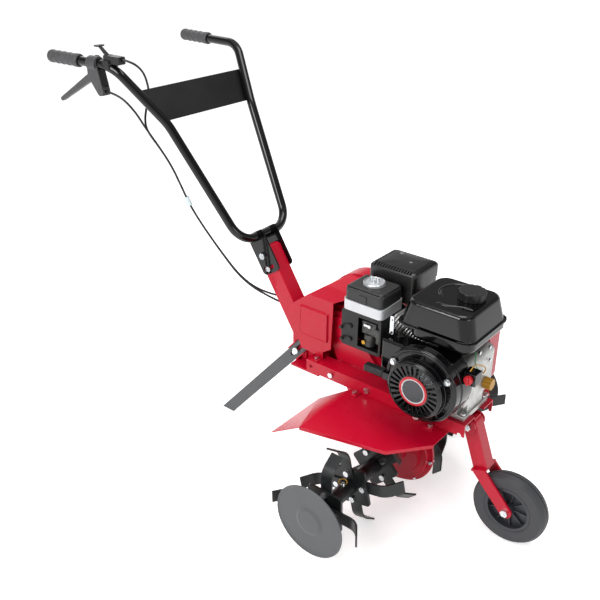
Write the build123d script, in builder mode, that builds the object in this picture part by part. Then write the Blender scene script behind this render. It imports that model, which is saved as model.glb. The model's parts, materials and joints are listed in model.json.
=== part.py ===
from build123d import *
import math
import os

# Garden tiller. Millimetres and degrees: X forward, Y to the machine's left, Z up from the ground.

# General fits and sheet
run_fit = 0.05
easy_fit = 0.3
seat_fit = 0.1
bolt_fit = 0.2

# Transport wheel
wheel_x = 644.0
wheel_r = 100.0
tyre_w = 44.0
tyre_side_r = 68.0
tyre_shoulder = 8.0
rim_r = 62.0
rim_w = 38.0
wheel_hub_r = 15.0
wheel_hub_w = 48.0
wheel_axle_r = 6.0
spoke_count = 9
spoke_t = 3.0
rim_web_t = 4.0
tread_groove = 2.5
tread_lines = (-14.0, 0.0, 14.0)

# Rotor: the outer tines reach the ground just behind the axle
rotor_x = 302.0
rotor_z = 134.0
inner_lean = 45.4
middle_lean = -13.0
outer_lean = -1.4
axle_r = 15.0
axle_half = 300.0
flange_size = 104.0
flange_t = 8.0
inner_flange_y = 115.0
middle_flange_y = 226.0
outer_flange_y = 338.0
hub_r = 21.0
inner_hub_start = 42.0
inner_hub_end = 252.0
outer_hub_end = 399.0
hub_pin_r = 5.0
hub_pin_y = 264.0
tine_w = 34.0
tine_t = 5.0
tine_root = 24.0
tine_bend_at = 80.0
tine_bend_r = 40.0
tine_bend = 55.0
tine_bolt_u = 40.0
tine_bolt_r = 5.0
disc_r = 102.0
disc_t = 3.0
disc_dish = 7.0
disc_boss_r = 36.0
rotor_sets = (
    (inner_flange_y, inner_lean, (True, False, True, False)),
    (middle_flange_y, middle_lean, (False, True, True, False)),
    (outer_flange_y, outer_lean, (False, True, False, True)),
)

# Chain case
input_x = 94.0
input_z = 446.0
case_low_r = 100.0
case_top_r = 44.0
case_half = 20.0
case_wall = 3.0
case_rim = 12.0
case_bolt_count = 14
case_rim_t = 4.0
case_dome_r = 80.0
case_dome_h = 8.0
low_boss_r = 38.0
low_boss_h = 37.0
low_bearing_r = 31.0
low_bearing_w = 16.0
top_boss_r = 29.0
top_boss_h = 25.0
top_bearing_r = 23.5
top_bearing_w = 14.0
top_bearing_in = 7.0
case_lug_r = 14.0
case_lug_x = (116.0, 236.0)
case_lug_z = 322.0
case_bolt_r = 3.2

# Chain and sprockets
chain_pitch = 15.875
chain_roller_r = 5.0
chain_plate_h = 11.0
chain_plate_t = 1.5
chain_inner_w = 9.6
small_teeth = 8
large_teeth = 36
sprocket_t = 7.0
sprocket_hub_r = 27.0
sprocket_hub_w = 20.0
tooth_depth = 5.0
input_shaft_r = 10.0

# Rails and frame plates
rail_top = 340.0
rail_h = 36.0
rail_t = 4.0
rail_y = 75.0
rail_flange = 51.0
rail_rear_x = 29.0
rail_front_x = 528.0
hitch_rear_x = -28.0
hitch_front_x = 72.0
plate_t = 6.0
cheek_gap = 0.5
cheek_top = 402.0
front_plate_x = 470.0
fork_pivot_x = 514.0
fork_pivot_z = 306.0
fork_drop = 114.0
fork_lean = 20.5
fork_arm_w = 34.0
tyre_clear = 3.0
ear_r = 20.0
fender_tab_x = (205.0, 440.0)
fender_tab_y = 88.0
fender_tab_w = 26.0
frame_bolt_r = 5.0
bolt_head_share = 1.75
bolt_head_rise = 1.3
hex_sides = 6
spare_hole_x = 45.0

# Mast and handlebar clevis
pivot_x = -166.0
pivot_z = 585.0
mast_lean = 32.5
mast_w = 50.0
mast_d = 56.0
mast_t = 3.0
mast_over = 24.0
pivot_bolt_r = 6.0
slot_r = 40.0
slot_swing = 23.0
slot_half = 5.4
clevis_t = 5.0
clevis_gap = 0.6
clevis_rear = 30.0
clevis_front = 38.0
clevis_low = 54.0
clevis_high = 72.0
clevis_round = 12.0
clevis_web_s = 41.0

# Handlebar tube
tube_r = 12.5
tube_t = 2.0
tube_s = 57.0
tube_n = 13.0
u_half = 98.0
u_bend = 68.0
knee_x = -379.0
knee_y = 164.5
knee_z = 952.0
knee_bend = 180.0
top_x = -499.0
top_y = 236.0
top_z = 1099.0
top_bend = 80.0
grip_x = -743.5
grip_y = 250.0
grip_z = 1100.0
grip_r = 17.0
grip_len = 116.0
grip_end = 4.0
grip_collar = 0.8
panel_low_z = 964.0
panel_high_z = 1041.0
panel_t = 2.5

# Clutch lever and throttle on the right handle
clamp_x = -566.0
clamp_len = 34.0
clamp_r = 19.0
lever_pivot_drop = 31.0
lever_pivot_r = 3.0
bracket_cheek = 5.0
lever_t = 14.0
lever_set_back = 9.0
lever_reach = 172.0
lever_fall = 29.5
lever_root_r = 11.0
lever_tip_r = 6.0
lever_round = 3.0
lever_horn = 16.0
hook_r = 11.0
housing_top_r = 20.0
housing_low_r = 13.0
throttle_x = -512.0
throttle_end_x = -461.0
throttle_len = 63.0
throttle_h = 15.0
throttle_w = 22.0
saddle_w = 32.0
throttle_drop = 2.0
throttle_clamp = 26.0
throttle_lever_t = 5.0
throttle_lever_len = 42.0
throttle_lever_w = 12.0
throttle_lean = 36.0
throttle_pad = 10.0

# Cables, with the points of their routes chosen by hand
cable_r = 3.0
cable_bend_share = 0.45
clutch_route = (
    (-541, -240, 1031), (-488, -235, 1028), (-452, -215, 988), (-423, -203, 939), (-390, -190, 892),
                (-361, -178, 844),
    (-339, -169, 791), (-318, -160, 738), (-290, -148, 688), (-261, -134, 640), (-232, -118, 591),
                (-206, -99, 543),
    (-175, -73, 501), (-143, -39, 468), (-120, 1, 436), (-87, 43, 410), (-28, 57, 401),
)
throttle_route = (
    (-475, -233, 1121), (-448, -231, 1119), (-434, -214, 1109), (-443, -186, 1089), (-462, -158, 1062),
                  (-474, -140, 1022),
    (-470, -157, 984), (-452, -182, 955), (-428, -197, 932), (-395, -185, 889), (-366, -173, 841),
                  (-344, -164, 788),
    (-323, -155, 735), (-295, -143, 685), (-266, -129, 637), (-237, -112, 588), (-211, -92, 540),
                  (-181, -65, 499),
    (-154, -29, 471), (-130, 16, 448), (-88, 47, 426), (-28, 57, 417),
)

# Drag bar and hitch
bar_y = -39.0
bar_w = 36.0
bar_t = 8.0
bar_slope = 49.0
hitch_x = -34.0
hitch_z = 330.0
bar_over = 48.0
bar_slot = 60.0
sleeve_len = 44.0
sleeve_t = 3.5
hitch_pin_r = 6.0
pin_over = 6.0

# Fenders
fender_t = 2.5
fender_in_y = 32.0
fender_fold_x = 185.0
fender_front_x = 486.0
fender_rear_x = 76.0
fender_rear_z = 228.0
fender_rear_out = 281.0
fender_fold_out = 298.0
fender_side_x = 409.0
fender_side_out = 243.0
fender_nose_out = 146.0
fender_lip = 10.0

# Belt drive
drive_belt_y = (115.0, 133.0)
belt_top_w = 13.0
belt_low_w = 8.0
belt_h = 9.0
belt_rise = 3.0
driven_r = 85.0
driver_r = 32.0
pulley_y0 = 104.0
pulley_y1 = 144.0
pulley_web = 6.0
pulley_rim = 16.0
groove_extra = 1.5
idler_pivot_x = 214.0
idler_pivot_z = 478.0
idler_x = 276.0
idler_r = 24.0
idler_gap = 9.0
idler_arm_t = 5.0
idler_arm_w = 22.0
idler_bolt_r = 5.0
idler_arm_gap = 2.5
idler_y0 = 107.0
idler_y1 = 141.0
pulley_side_gap = 0.35
pulley_hub_r = 22.0
pulley_holes = 5
pulley_hole_r = 11.0

# Belt guard and belt cover
guard_side_y = -45.5
guard_back_y = 92.0
guard_t = 2.5
cover_y = 162.0
cover_rear_r = 112.0
cover_corner_r = 24.0
cover_front_x = 490.0
cover_front_z = (352.0, 538.0)
guard_emboss = 3.0
guard_near = [(-12.0, 350.0), (40.0, 345.0), (92.0, 380.0), (97.0, 526.0), (13.0, 528.0), (-62.0, 467.0)]
guard_middle = [(-11.0, 369.0), (40.0, 362.0), (124.0, 380.0), (128.0, 529.0), (22.0, 531.0),
                (-24.0, 490.0)]
guard_far = [(-10.0, 388.0), (40.0, 380.0), (150.0, 380.0), (150.0, 551.0), (52.0, 549.0), (8.0, 519.0)]
guard_middle_y = 24.0
guard_open_x = -18.0
guard_open_z = 402.0
guard_front_x = 70.0
guard_badge = (33.0, 443.0)
guard_badge_w = 104.0
guard_badge_h = 94.0
guard_badge_round = 10.0
guard_badge_rise = 5.0
guard_badge_taper = 30.0
guard_foot_x = 40.0
guard_foot_w = 26.0
guard_foot_top = 366.0
cover_round = 12.0
cover_margin = 18.0
guard_shaft_hole = 34.0
guard_crank_hole = 30.0
mast_clear = 4.0

# Engine
crank_x = 427.0
crank_h = 106.0
crank_z = rail_top + crank_h
mount_x = 81.0
mount_y = 52.5
mount_bolt_r = 4.0
foot_h = 12.0
block_x0 = 347.0
block_x1 = 512.0
block_y0 = -60.0
block_y1 = 78.0
block_top = 500.0
block_round = 20.0
foot_w = 18.0
side_cover_r = 62.0
foot_pocket = 13.0
barrel_tilt = 25.0
fin_y = 104.0
fin_w = 80.0
fin_t = 3.0
fin_pitch = 8.0
barrel_from = 76.0
barrel_fins = 7
barrel_r = 40.0
head_len = 42.0
head_fins = 5
cover_len = 26.0
cover_w = 82.0
cover_h = 50.0
fan_r = 101.0
fan_y0 = -62.0
fan_y1 = -114.0
fan_wall = 3.0
fan_round = 8.0
fan_mouth_r = 66.0
fan_lift = 2.0
fan_left_x = 297.0
fan_left_low = 436.0
fan_top_z = 521.0
recoil_r = 99.0
recoil_step_y = -138.0
recoil_crown_r = 75.0
recoil_y = -166.0
recoil_wall = 3.0
recoil_round = 6.0
rope_r = 3.0
recoil_slots = 26
slot_in_r = 41.0
slot_out_r = 67.0
recoil_slot_w = 6.0
emblem_r = 38.0
recoil_bolts = 3
recoil_bolt_at = 86.0
recoil_bolt_r = 6.0
pull_x0 = 268.0
pull_x1 = 326.0
pull_z = 441.0
pull_y = -136.0
pull_w = 22.0
pull_h = 20.0
crank_r = 10.0
crank_end_y = 152.0
flywheel_r = 70.0
flywheel_y0 = -102.0
flywheel_y1 = -72.0
flywheel_dish = 14.0
flywheel_vanes = 16
tank_x0 = 320.0
tank_x1 = 533.0
tank_y0 = -101.0
tank_y1 = 104.0
tank_low = 543.0
tank_seam = 572.0
tank_seam_t = 5.0
tank_flange = 5.0
tank_top = 636.0
tank_taper_x = 21.0
tank_taper_y = 13.0
tank_round = 38.0
tank_wall = 3.0
tank_under = 2.0
tank_pan_left = 32.0
tank_edge = 12.0
cap_x = 464.0
cap_y = 16.0
neck_r = 23.0
neck_h = 10.0
cap_r = 34.0
cap_h = 22.0
cap_lobes = 10
cap_lobe_r = 5.0
cleaner_x0 = 162.0
cleaner_x1 = 284.0
cleaner_y0 = -98.0
cleaner_y1 = 3.0
cleaner_base_z = 556.0
cleaner_band_z = 584.0
cleaner_top = 622.0
cleaner_round = 14.0
nut_x = 222.0
nut_y = -44.0
nut_r = 29.0
nut_h = 5.0
wing_half = 13.0
wing_h = 11.0
wing_t = 4.0
cleaner_edge = 12.0
box_low_z = 452.0
box_depth = 42.0
box_t = 3.0
window_x0 = 214.0
window_x1 = 278.0
window_z0 = 462.0
window_z1 = 545.0
choke_at = (190.0, 512.0)
choke_reach = 26.0
choke_lean = 200.0
fuel_at = (190.0, 474.0)
fuel_reach = 22.0
fuel_lean = 190.0
lever_plate_t = 3.0
lever_root_share = 2.5
lever_end_share = 1.5
knob_len = 10.0
carb_x = 268.0
carb_z = 512.0
carb_r = 12.0
bowl_r = 16.0
carb_y1 = -52.3
muffler_x0 = 168.0
muffler_x1 = 308.0
muffler_y0 = 8.0
muffler_y1 = 130.0
muffler_low = 564.0
muffler_top = 654.0
muffler_gap = 6.0
muffler_slots = 14
muffler_slot_w = 4.0
muffler_slot_len = 15.0
muffler_round = 11.0
muffler_crown = 9.0
muffler_dimple_r = 13.0
muffler_dimple = 1.0
muffler_stay_x = 36.0
muffler_stay_up = 13.0
muffler_stay_r = 4.0
pipe_x = 278.0
pipe_z = 516.0
pipe_y = 75.0
pipe_r = 9.0
pipe_bend = 14.0
governor_x = 310.0
governor_y = -88.0
governor_low = 527.0
governor_high = 578.0
governor_w = 11.0
governor_t = 3.0
switch_x = 534.0
switch_y = -96.0
switch_z = 488.0
switch_r = 11.0
switch_box = 16.0
switch_pin = 8.0
switch_wing_share = 1.5
oil_y = 42.0
oil_z = 404.0
oil_r = 10.5
oil_len = 22.0
oil_seat = 5.0
plug_r = 9.0
plug_y = 20.0
plug_len = 50.0


def side(y=0.0):
    """Upright plane across the machine: sketch coordinates are X and Z, extrusion goes to the right."""
    return Plane(origin=(0, y, 0), x_dir=(1, 0, 0), z_dir=(0, -1, 0))


def facing(x=0.0):
    """Upright plane that looks forward: sketch coordinates are Y and Z."""
    return Plane(origin=(x, 0, 0), x_dir=(0, 1, 0), z_dir=(1, 0, 0))


def block(x0, x1, y0, y1, z0, z1, mode=Mode.ADD):
    """Box between two corners."""
    with Locations(((x0 + x1) / 2, (y0 + y1) / 2, (z0 + z1) / 2)):
        Box(abs(x1 - x0), abs(y1 - y0), abs(z1 - z0), mode=mode)


def rod_y(x, z, y0, y1, r, mode=Mode.ADD):
    """Round bar lying across the machine."""
    with Locations((x, (y0 + y1) / 2, z)):
        Cylinder(r, abs(y1 - y0), rotation=(90, 0, 0), mode=mode)


def bolt_y(x, z, y_head, y_tip, r, nut=False):
    """Hexagon bolt across the machine, its head outside y_head and a nut outside y_tip."""
    out = 1 if y_head > y_tip else -1
    rod_y(x, z, y_head, y_tip, r)
    ends = [(y_head, out)]
    if nut:
        ends.append((y_tip, -out))
    for y, way in ends:
        with BuildSketch(side(y)) as hexagon:
            with Locations((x, z)):
                RegularPolygon(bolt_head_share * r, hex_sides)
        extrude(hexagon.sketch, amount=-way * bolt_head_rise * r)


def bolt_z(x, y, z_head, z_tip, r):
    """Hexagon bolt standing upright with its head on z_head."""
    with Locations((x, y, (z_head + z_tip) / 2)):
        Cylinder(r, z_head - z_tip)
    with BuildSketch(Plane.XY.offset(z_head)) as hexagon:
        with Locations((x, y)):
            RegularPolygon(bolt_head_share * r, hex_sides)
    extrude(hexagon.sketch, amount=bolt_head_rise * r)


def round_hull(plane, *rounds):
    """Flat face bounded by round corners, each given by its centre and radius, and their tangents."""
    with BuildSketch(plane) as outline:
        for x, z, r in rounds:
            with Locations((x, z)):
                Circle(r)
        make_hull()
    return outline.sketch


def drive_hull(plane, x_a, z_a, r_a, x_b, z_b, r_b):
    """Flat face bounded by two round ends and their tangents."""
    return round_hull(plane, (x_a, z_a, r_a), (x_b, z_b, r_b))


def cord_radii(points):
    """Largest bend that the two runs at each corner of a cord allow."""
    radii = []
    for before, here, after in zip(points, points[1:], points[2:]):
        run_in = Vector(here) - Vector(before)
        run_out = Vector(after) - Vector(here)
        turn = math.radians(run_in.get_angle(run_out))
        short = min(run_in.length, run_out.length)
        radii.append(cable_bend_share * short / math.tan(turn / 2))
    return radii


def keep(piece, name):
    """Label a finished piece and write it out."""
    piece.part.label = name
    export_step(piece.part, f"parts/{name}.step")


os.makedirs("parts", exist_ok=True)
rail_bottom = rail_top - rail_h
guard_bolt_x = guard_foot_x + guard_foot_w / 2
guard_bolt_y = guard_side_y - guard_foot_w / 2
mast_up = Vector(-math.sin(math.radians(mast_lean)), 0, math.cos(math.radians(mast_lean)))
mast_fore = Vector(math.cos(math.radians(mast_lean)), 0, math.sin(math.radians(mast_lean)))
pivot = Vector(pivot_x, 0, pivot_z)
bar_down = Vector(-math.cos(math.radians(bar_slope)), 0, -math.sin(math.radians(bar_slope)))
mast_bottom = (pivot_z - rail_bottom) / mast_up.Z
mast_low_bolt = (22.0, 318.0)
mast_high_bolt = (-28.0, 386.0)

# Main frame: two angle rails, rear hitch plate and cheeks, front plate with the fork ears
with BuildPart() as main_frame:
    for hand in (-1, 1):
        block(rail_rear_x, rail_front_x, hand * rail_y, hand * (rail_y - rail_t), rail_bottom, rail_top)
        block(rail_rear_x, rail_front_x, hand * rail_y, hand * (rail_y - rail_flange), rail_top - rail_t,
              rail_top)
        for tab_x in fender_tab_x:
            block(tab_x - fender_tab_w / 2, tab_x + fender_tab_w / 2, hand * (rail_y - rail_t),
                  hand * (fender_tab_y + fender_tab_w / 2), rail_bottom, rail_bottom + rail_t)
        cheek_in = mast_w / 2 + cheek_gap
        with BuildSketch(side(hand * cheek_in)):
            Polygon((hitch_rear_x, rail_bottom), (hitch_front_x, rail_bottom), (hitch_front_x, rail_top),
                    (mast_high_bolt[0] + mast_d / 2, cheek_top),
                    (mast_high_bolt[0] - mast_d / 2, cheek_top),
                    (hitch_rear_x - mast_d / 2, rail_top), align=None)
        extrude(amount=-hand * plate_t)
        ear_in = ear_r + easy_fit + mast_t / 2
        with BuildSketch(side(hand * ear_in)):
            with BuildLine():
                Polyline((fork_pivot_x, fork_pivot_z + ear_r), (front_plate_x, rail_top - rail_t),
                         (front_plate_x, fork_pivot_z - ear_r), (fork_pivot_x, fork_pivot_z - ear_r))
                RadiusArc((fork_pivot_x, fork_pivot_z - ear_r), (fork_pivot_x, fork_pivot_z + ear_r),
                          -ear_r)
            make_face()
        extrude(amount=-hand * plate_t)
    block(hitch_rear_x, hitch_front_x, -rail_y, rail_y, rail_bottom - plate_t, rail_bottom)
    block(front_plate_x - plate_t, front_plate_x, -rail_y, rail_y, rail_bottom + easy_fit,
          rail_top - rail_t)
    block(front_plate_x - plate_t, front_plate_x, -ear_in - plate_t, ear_in + plate_t, fork_pivot_z - ear_r,
          rail_top - rail_t)
    anchor_x = hitch_rear_x - cable_r
    block(anchor_x - rail_t, anchor_x, cheek_in, clutch_route[-1][1] + 3 * cable_r, cheek_top - 2 * cable_r,
          throttle_route[-1][2] + 3 * cable_r)
    for route in (clutch_route, throttle_route):
        with Locations((anchor_x, route[-1][1], route[-1][2])):
            Cylinder(cable_r + 7 * easy_fit, 4 * rail_t, rotation=(0, 90, 0), mode=Mode.SUBTRACT)
    bar_plane = Plane(origin=(hitch_x, bar_y, hitch_z), x_dir=(0, 1, 0), z_dir=bar_down)
    with BuildSketch(bar_plane.offset(-sleeve_len / 2)):
        sleeve_w = bar_w + 2 * easy_fit + 2 * sleeve_t
        Rectangle(bar_t + 2 * easy_fit + 2 * sleeve_t, sleeve_w)
    extrude(amount=sleeve_len)
    block(hitch_x - bar_w / 2, hitch_rear_x + mast_d / 2, bar_y, -cheek_in, hitch_z - bar_w / 2, rail_top)
    with BuildSketch(bar_plane.offset(-bar_slot - sleeve_len)):
        with Locations((-sleeve_t, 0)):
            Rectangle(bar_t + 2 * easy_fit + 2 * sleeve_t, bar_w + 2 * easy_fit)
    extrude(amount=2 * (bar_slot + sleeve_len), mode=Mode.SUBTRACT)
    rod_y(hitch_x, hitch_z, -rail_y, -mast_w / 2, hitch_pin_r + bolt_fit, mode=Mode.SUBTRACT)
    rod_y(fork_pivot_x, fork_pivot_z, -rail_y, rail_y, pivot_bolt_r + bolt_fit, mode=Mode.SUBTRACT)
    for bolt_x, bolt_h in (mast_low_bolt, mast_high_bolt):
        rod_y(bolt_x, bolt_h, -rail_flange, rail_flange, frame_bolt_r + bolt_fit, mode=Mode.SUBTRACT)
    for bolt_x in (spare_hole_x,) + case_lug_x:
        rod_y(bolt_x, case_lug_z, rail_y - 2 * rail_t, rail_y + rail_t, frame_bolt_r + bolt_fit,
              mode=Mode.SUBTRACT)
        rod_y(bolt_x, case_lug_z, -rail_y + 2 * rail_t, -rail_y - rail_t, frame_bolt_r + bolt_fit,
              mode=Mode.SUBTRACT)
    with Locations((crank_x, 0, rail_top - rail_t / 2)):
        with GridLocations(2 * mount_x, 2 * mount_y, 2, 2):
            Cylinder(mount_bolt_r + bolt_fit, 2 * rail_t, mode=Mode.SUBTRACT)
    with Locations((guard_bolt_x, guard_bolt_y, rail_top)):
        Cylinder(mount_bolt_r + bolt_fit, 4 * rail_t, mode=Mode.SUBTRACT)
    for hand in (-1, 1):
        for tab_x in fender_tab_x:
            with Locations((tab_x, hand * fender_tab_y, rail_bottom)):
                Cylinder(mount_bolt_r + bolt_fit, 4 * rail_t, mode=Mode.SUBTRACT)
keep(main_frame, "main_frame")

# Mast: leaning box tube with a closed top, bolted between the cheeks
mast_plane = Plane(origin=pivot - mast_up * (mast_bottom + mast_d), x_dir=mast_fore, z_dir=mast_up)
with BuildPart() as mast:
    with BuildSketch(mast_plane):
        RectangleRounded(mast_d, mast_w, mast_t)
    extrude(amount=mast_bottom + mast_d + mast_over)
    with BuildSketch(mast_plane):
        Rectangle(mast_d - 2 * mast_t, mast_w - 2 * mast_t)
    extrude(amount=mast_bottom + mast_d + mast_over - mast_t, mode=Mode.SUBTRACT)
    block(-2 * mast_bottom, 2 * mast_bottom, -mast_w, mast_w, rail_bottom - 2 * mast_bottom, rail_bottom,
          mode=Mode.SUBTRACT)
    top_edges = mast.faces().sort_by(Axis(tuple(pivot), tuple(mast_up)))[-1].edges().filter_by(Axis.Y)
    fillet(top_edges, clevis_round)
    slot_bolt = pivot - mast_up * slot_r
    for hole, hole_r in ((pivot, pivot_bolt_r), (slot_bolt, frame_bolt_r)):
        rod_y(hole.X, hole.Z, -mast_w, mast_w, hole_r + bolt_fit, mode=Mode.SUBTRACT)
    for bolt_x, bolt_h in (mast_low_bolt, mast_high_bolt):
        rod_y(bolt_x, bolt_h, -mast_w, mast_w, frame_bolt_r + bolt_fit, mode=Mode.SUBTRACT)
keep(mast, "mast")

# Fenders: folded sheet under each rail, with a sloping rear flap and a turned-down outer lip
fender_top = rail_bottom
flap_run = Vector(fender_fold_x - fender_rear_x, 0, fender_top - fender_rear_z)
flap_out = Vector(-flap_run.Z, 0, flap_run.X).normalized()
for hand, name in ((-1, "right_fender"), (1, "left_fender")):
    outline = ((fender_fold_x, fender_in_y), (fender_front_x, fender_in_y),
               (fender_front_x, fender_nose_out),
               (fender_side_x, fender_side_out), (fender_fold_x, fender_fold_out))
    with BuildPart() as fender:
        with BuildSketch(Plane.XY.offset(fender_top - fender_t)):
            Polygon(*[(x, hand * y) for x, y in outline], align=None)
        extrude(amount=fender_t)
        lip_runs = outline[2:]
        for (x_a, y_a), (x_b, y_b) in zip(lip_runs, lip_runs[1:]):
            run = Vector(x_b - x_a, hand * (y_b - y_a), 0)
            lip_plane = Plane(origin=(x_a, hand * y_a, fender_top), x_dir=run.normalized(), z_dir=(0, 0, 1))
            with BuildSketch(lip_plane):
                with Locations((run.length / 2, hand * fender_t / 2)):
                    Rectangle(run.length, fender_t)
            extrude(amount=-fender_lip)
        flap_plane = Plane(origin=(fender_fold_x, 0, fender_top), x_dir=(0, 1, 0), z_dir=flap_out)
        with BuildSketch(flap_plane):
            Polygon((hand * rail_y, 0), (hand * fender_fold_out, 0),
                    (hand * fender_rear_out, flap_run.length),
                    (hand * rail_y, flap_run.length), align=None)
        extrude(amount=-fender_t)
        for tab_x in fender_tab_x:
            with Locations((tab_x, hand * fender_tab_y, fender_top)):
                Cylinder(mount_bolt_r + bolt_fit, 4 * fender_t, mode=Mode.SUBTRACT)
    keep(fender, name)

# Chain case: two bolted halves with bearing bosses and lugs that reach the rails
for hand, name in ((-1, "right_case"), (1, "left_case")):
    inside_low = case_low_r - case_wall
    inside_top = case_top_r - case_wall
    with BuildPart() as case_half_shell:
        body = drive_hull(side(), rotor_x, rotor_z, case_low_r, input_x, input_z, case_top_r)
        extrude(body, amount=-hand * case_half)
        rim = drive_hull(side(), rotor_x, rotor_z, case_low_r + case_rim, input_x, input_z,
                         case_top_r + case_rim)
        extrude(rim, amount=-hand * case_rim_t)
        rod_y(rotor_x, rotor_z, 0, hand * (case_half + case_dome_h), case_dome_r)
        rod_y(rotor_x, rotor_z, 0, hand * low_boss_h, low_boss_r)
        rod_y(input_x, input_z, 0, hand * top_boss_h, top_boss_r)
        for lug_x in case_lug_x:
            rod_y(lug_x, case_lug_z, hand * (case_half - case_wall), hand * (rail_y - rail_t), case_lug_r)
            rod_y(lug_x, case_lug_z, hand * (rail_y - 4 * rail_t), hand * rail_y, frame_bolt_r,
                  mode=Mode.SUBTRACT)
        hollow = drive_hull(side(), rotor_x, rotor_z, inside_low, input_x, input_z, inside_top)
        extrude(hollow, amount=-hand * (case_half - case_wall), mode=Mode.SUBTRACT)
        rod_y(rotor_x, rotor_z, 0, hand * (case_half + case_dome_h - case_wall), case_dome_r - case_wall,
              mode=Mode.SUBTRACT)
        low_seat = low_boss_h - low_bearing_w - case_wall
        rod_y(rotor_x, rotor_z, hand * low_seat, hand * low_boss_h, low_boss_r)
        rod_y(rotor_x, rotor_z, 0, hand * (low_boss_h - case_wall), low_bearing_r, mode=Mode.SUBTRACT)
        rod_y(rotor_x, rotor_z, 0, hand * low_boss_h, axle_r + easy_fit, mode=Mode.SUBTRACT)
        top_seat = top_bearing_in + top_bearing_w
        rod_y(input_x, input_z, hand * top_bearing_in, hand * top_boss_h, top_boss_r)
        rod_y(input_x, input_z, 0, hand * top_seat, top_bearing_r, mode=Mode.SUBTRACT)
        if hand > 0:
            rod_y(input_x, input_z, 0, hand * top_boss_h, input_shaft_r + easy_fit, mode=Mode.SUBTRACT)
        bolt_ring = drive_hull(side(), rotor_x, rotor_z, case_low_r + case_rim / 2, input_x, input_z,
                               case_top_r + case_rim / 2)
        case_bolt_line = bolt_ring.faces()[0].outer_wire()
        case_bolt_spots = [case_bolt_line @ (i / case_bolt_count) for i in range(case_bolt_count)]
        for spot in case_bolt_spots:
            rod_y(spot.X, spot.Z, 0, hand * case_rim_t, case_bolt_r + bolt_fit, mode=Mode.SUBTRACT)
    keep(case_half_shell, name)

# Bearings: two carry the rotor axle and two the input shaft
with BuildPart() as bearings:
    for hand in (-1, 1):
        low_end = low_boss_h - case_wall
        rod_y(rotor_x, rotor_z, hand * (low_end - low_bearing_w), hand * low_end,
              low_bearing_r - seat_fit / 2)
        rod_y(rotor_x, rotor_z, 0, hand * low_end, axle_r + run_fit, mode=Mode.SUBTRACT)
        rod_y(input_x, input_z, hand * top_bearing_in, hand * (top_bearing_in + top_bearing_w),
              top_bearing_r - seat_fit / 2)
        rod_y(input_x, input_z, 0, hand * top_boss_h, input_shaft_r + run_fit, mode=Mode.SUBTRACT)
keep(bearings, "bearings")

# Roller chain: side plates and rollers in one closed loop round both sprockets
small_pitch_r = chain_pitch / (2 * math.sin(math.pi / small_teeth))
large_pitch_r = chain_pitch / (2 * math.sin(math.pi / large_teeth))
with BuildPart() as chain:
    plate_in = chain_inner_w / 2
    for way in (-1, 1):
        outer_loop = drive_hull(side(way * plate_in), rotor_x, rotor_z, large_pitch_r + chain_plate_h / 2,
                                input_x, input_z, small_pitch_r + chain_plate_h / 2)
        inner_loop = drive_hull(side(way * plate_in), rotor_x, rotor_z, large_pitch_r - chain_plate_h / 2,
                                input_x, input_z, small_pitch_r - chain_plate_h / 2)
        extrude(outer_loop, amount=-way * chain_plate_t)
        extrude(inner_loop, amount=-way * chain_plate_t, mode=Mode.SUBTRACT)
    roller_line = drive_hull(side(), rotor_x, rotor_z, large_pitch_r, input_x, input_z,
                             small_pitch_r).faces()[0].outer_wire()
    roller_count = round(roller_line.length / chain_pitch)
    for i in range(roller_count):
        spot = roller_line @ (i / roller_count)
        rod_y(spot.X, spot.Z, -plate_in - chain_plate_t / 2, plate_in + chain_plate_t / 2, chain_roller_r)
keep(chain, "chain")

# Large sprocket, keyed to the rotor axle
with BuildPart() as large_sprocket:
    tip_r = large_pitch_r - chain_roller_r - easy_fit
    rod_y(rotor_x, rotor_z, -sprocket_t / 2, sprocket_t / 2, tip_r)
    rod_y(rotor_x, rotor_z, -sprocket_hub_w / 2, sprocket_hub_w / 2, sprocket_hub_r)
    with BuildSketch(side(-sprocket_t)):
        with Locations((rotor_x, rotor_z)):
            with PolarLocations(tip_r, large_teeth):
                Circle(tooth_depth)
    extrude(amount=-2 * sprocket_t, mode=Mode.SUBTRACT)
    rod_y(rotor_x, rotor_z, -sprocket_hub_w, sprocket_hub_w, axle_r + seat_fit, mode=Mode.SUBTRACT)
keep(large_sprocket, "large_sprocket")

# Input shaft with the small sprocket cut on it
with BuildPart() as input_shaft:
    tip_r = small_pitch_r - chain_roller_r - easy_fit
    rod_y(input_x, input_z, -top_bearing_in - top_bearing_w, pulley_y1, input_shaft_r)
    rod_y(input_x, input_z, -sprocket_t / 2, sprocket_t / 2, tip_r)
    with BuildSketch(side(-sprocket_t)):
        with Locations((input_x, input_z)):
            with PolarLocations(tip_r, small_teeth):
                Circle(tooth_depth / 2)
    extrude(amount=-2 * sprocket_t, mode=Mode.SUBTRACT)
keep(input_shaft, "input_shaft")

# Drive belts: two wedge belts round the driver and driven pulleys
with BuildPart() as drive_belts:
    belt_out = belt_rise
    belt_in = belt_rise - belt_h
    for belt_y in drive_belt_y:
        extrude(drive_hull(side(belt_y), crank_x, crank_z, driver_r + belt_out, input_x, input_z,
                           driven_r + belt_out),
                amount=belt_top_w / 2, both=True)
        extrude(drive_hull(side(belt_y), crank_x, crank_z, driver_r + belt_in, input_x, input_z,
                           driven_r + belt_in),
                amount=belt_top_w / 2, both=True, mode=Mode.SUBTRACT)
        for way in (-1, 1):
            flank_in = drive_hull(side(belt_y + way * belt_low_w / 2), crank_x, crank_z, driver_r + belt_in,
                                  input_x,
                                  input_z, driven_r + belt_in)
            flank_out = drive_hull(side(belt_y + way * belt_top_w / 2), crank_x, crank_z,
                                   driver_r + belt_out - bolt_fit,
                                   input_x, input_z, driven_r + belt_out - bolt_fit)
            loft([flank_in, flank_out], ruled=True, mode=Mode.SUBTRACT)
keep(drive_belts, "drive_belts")

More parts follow.
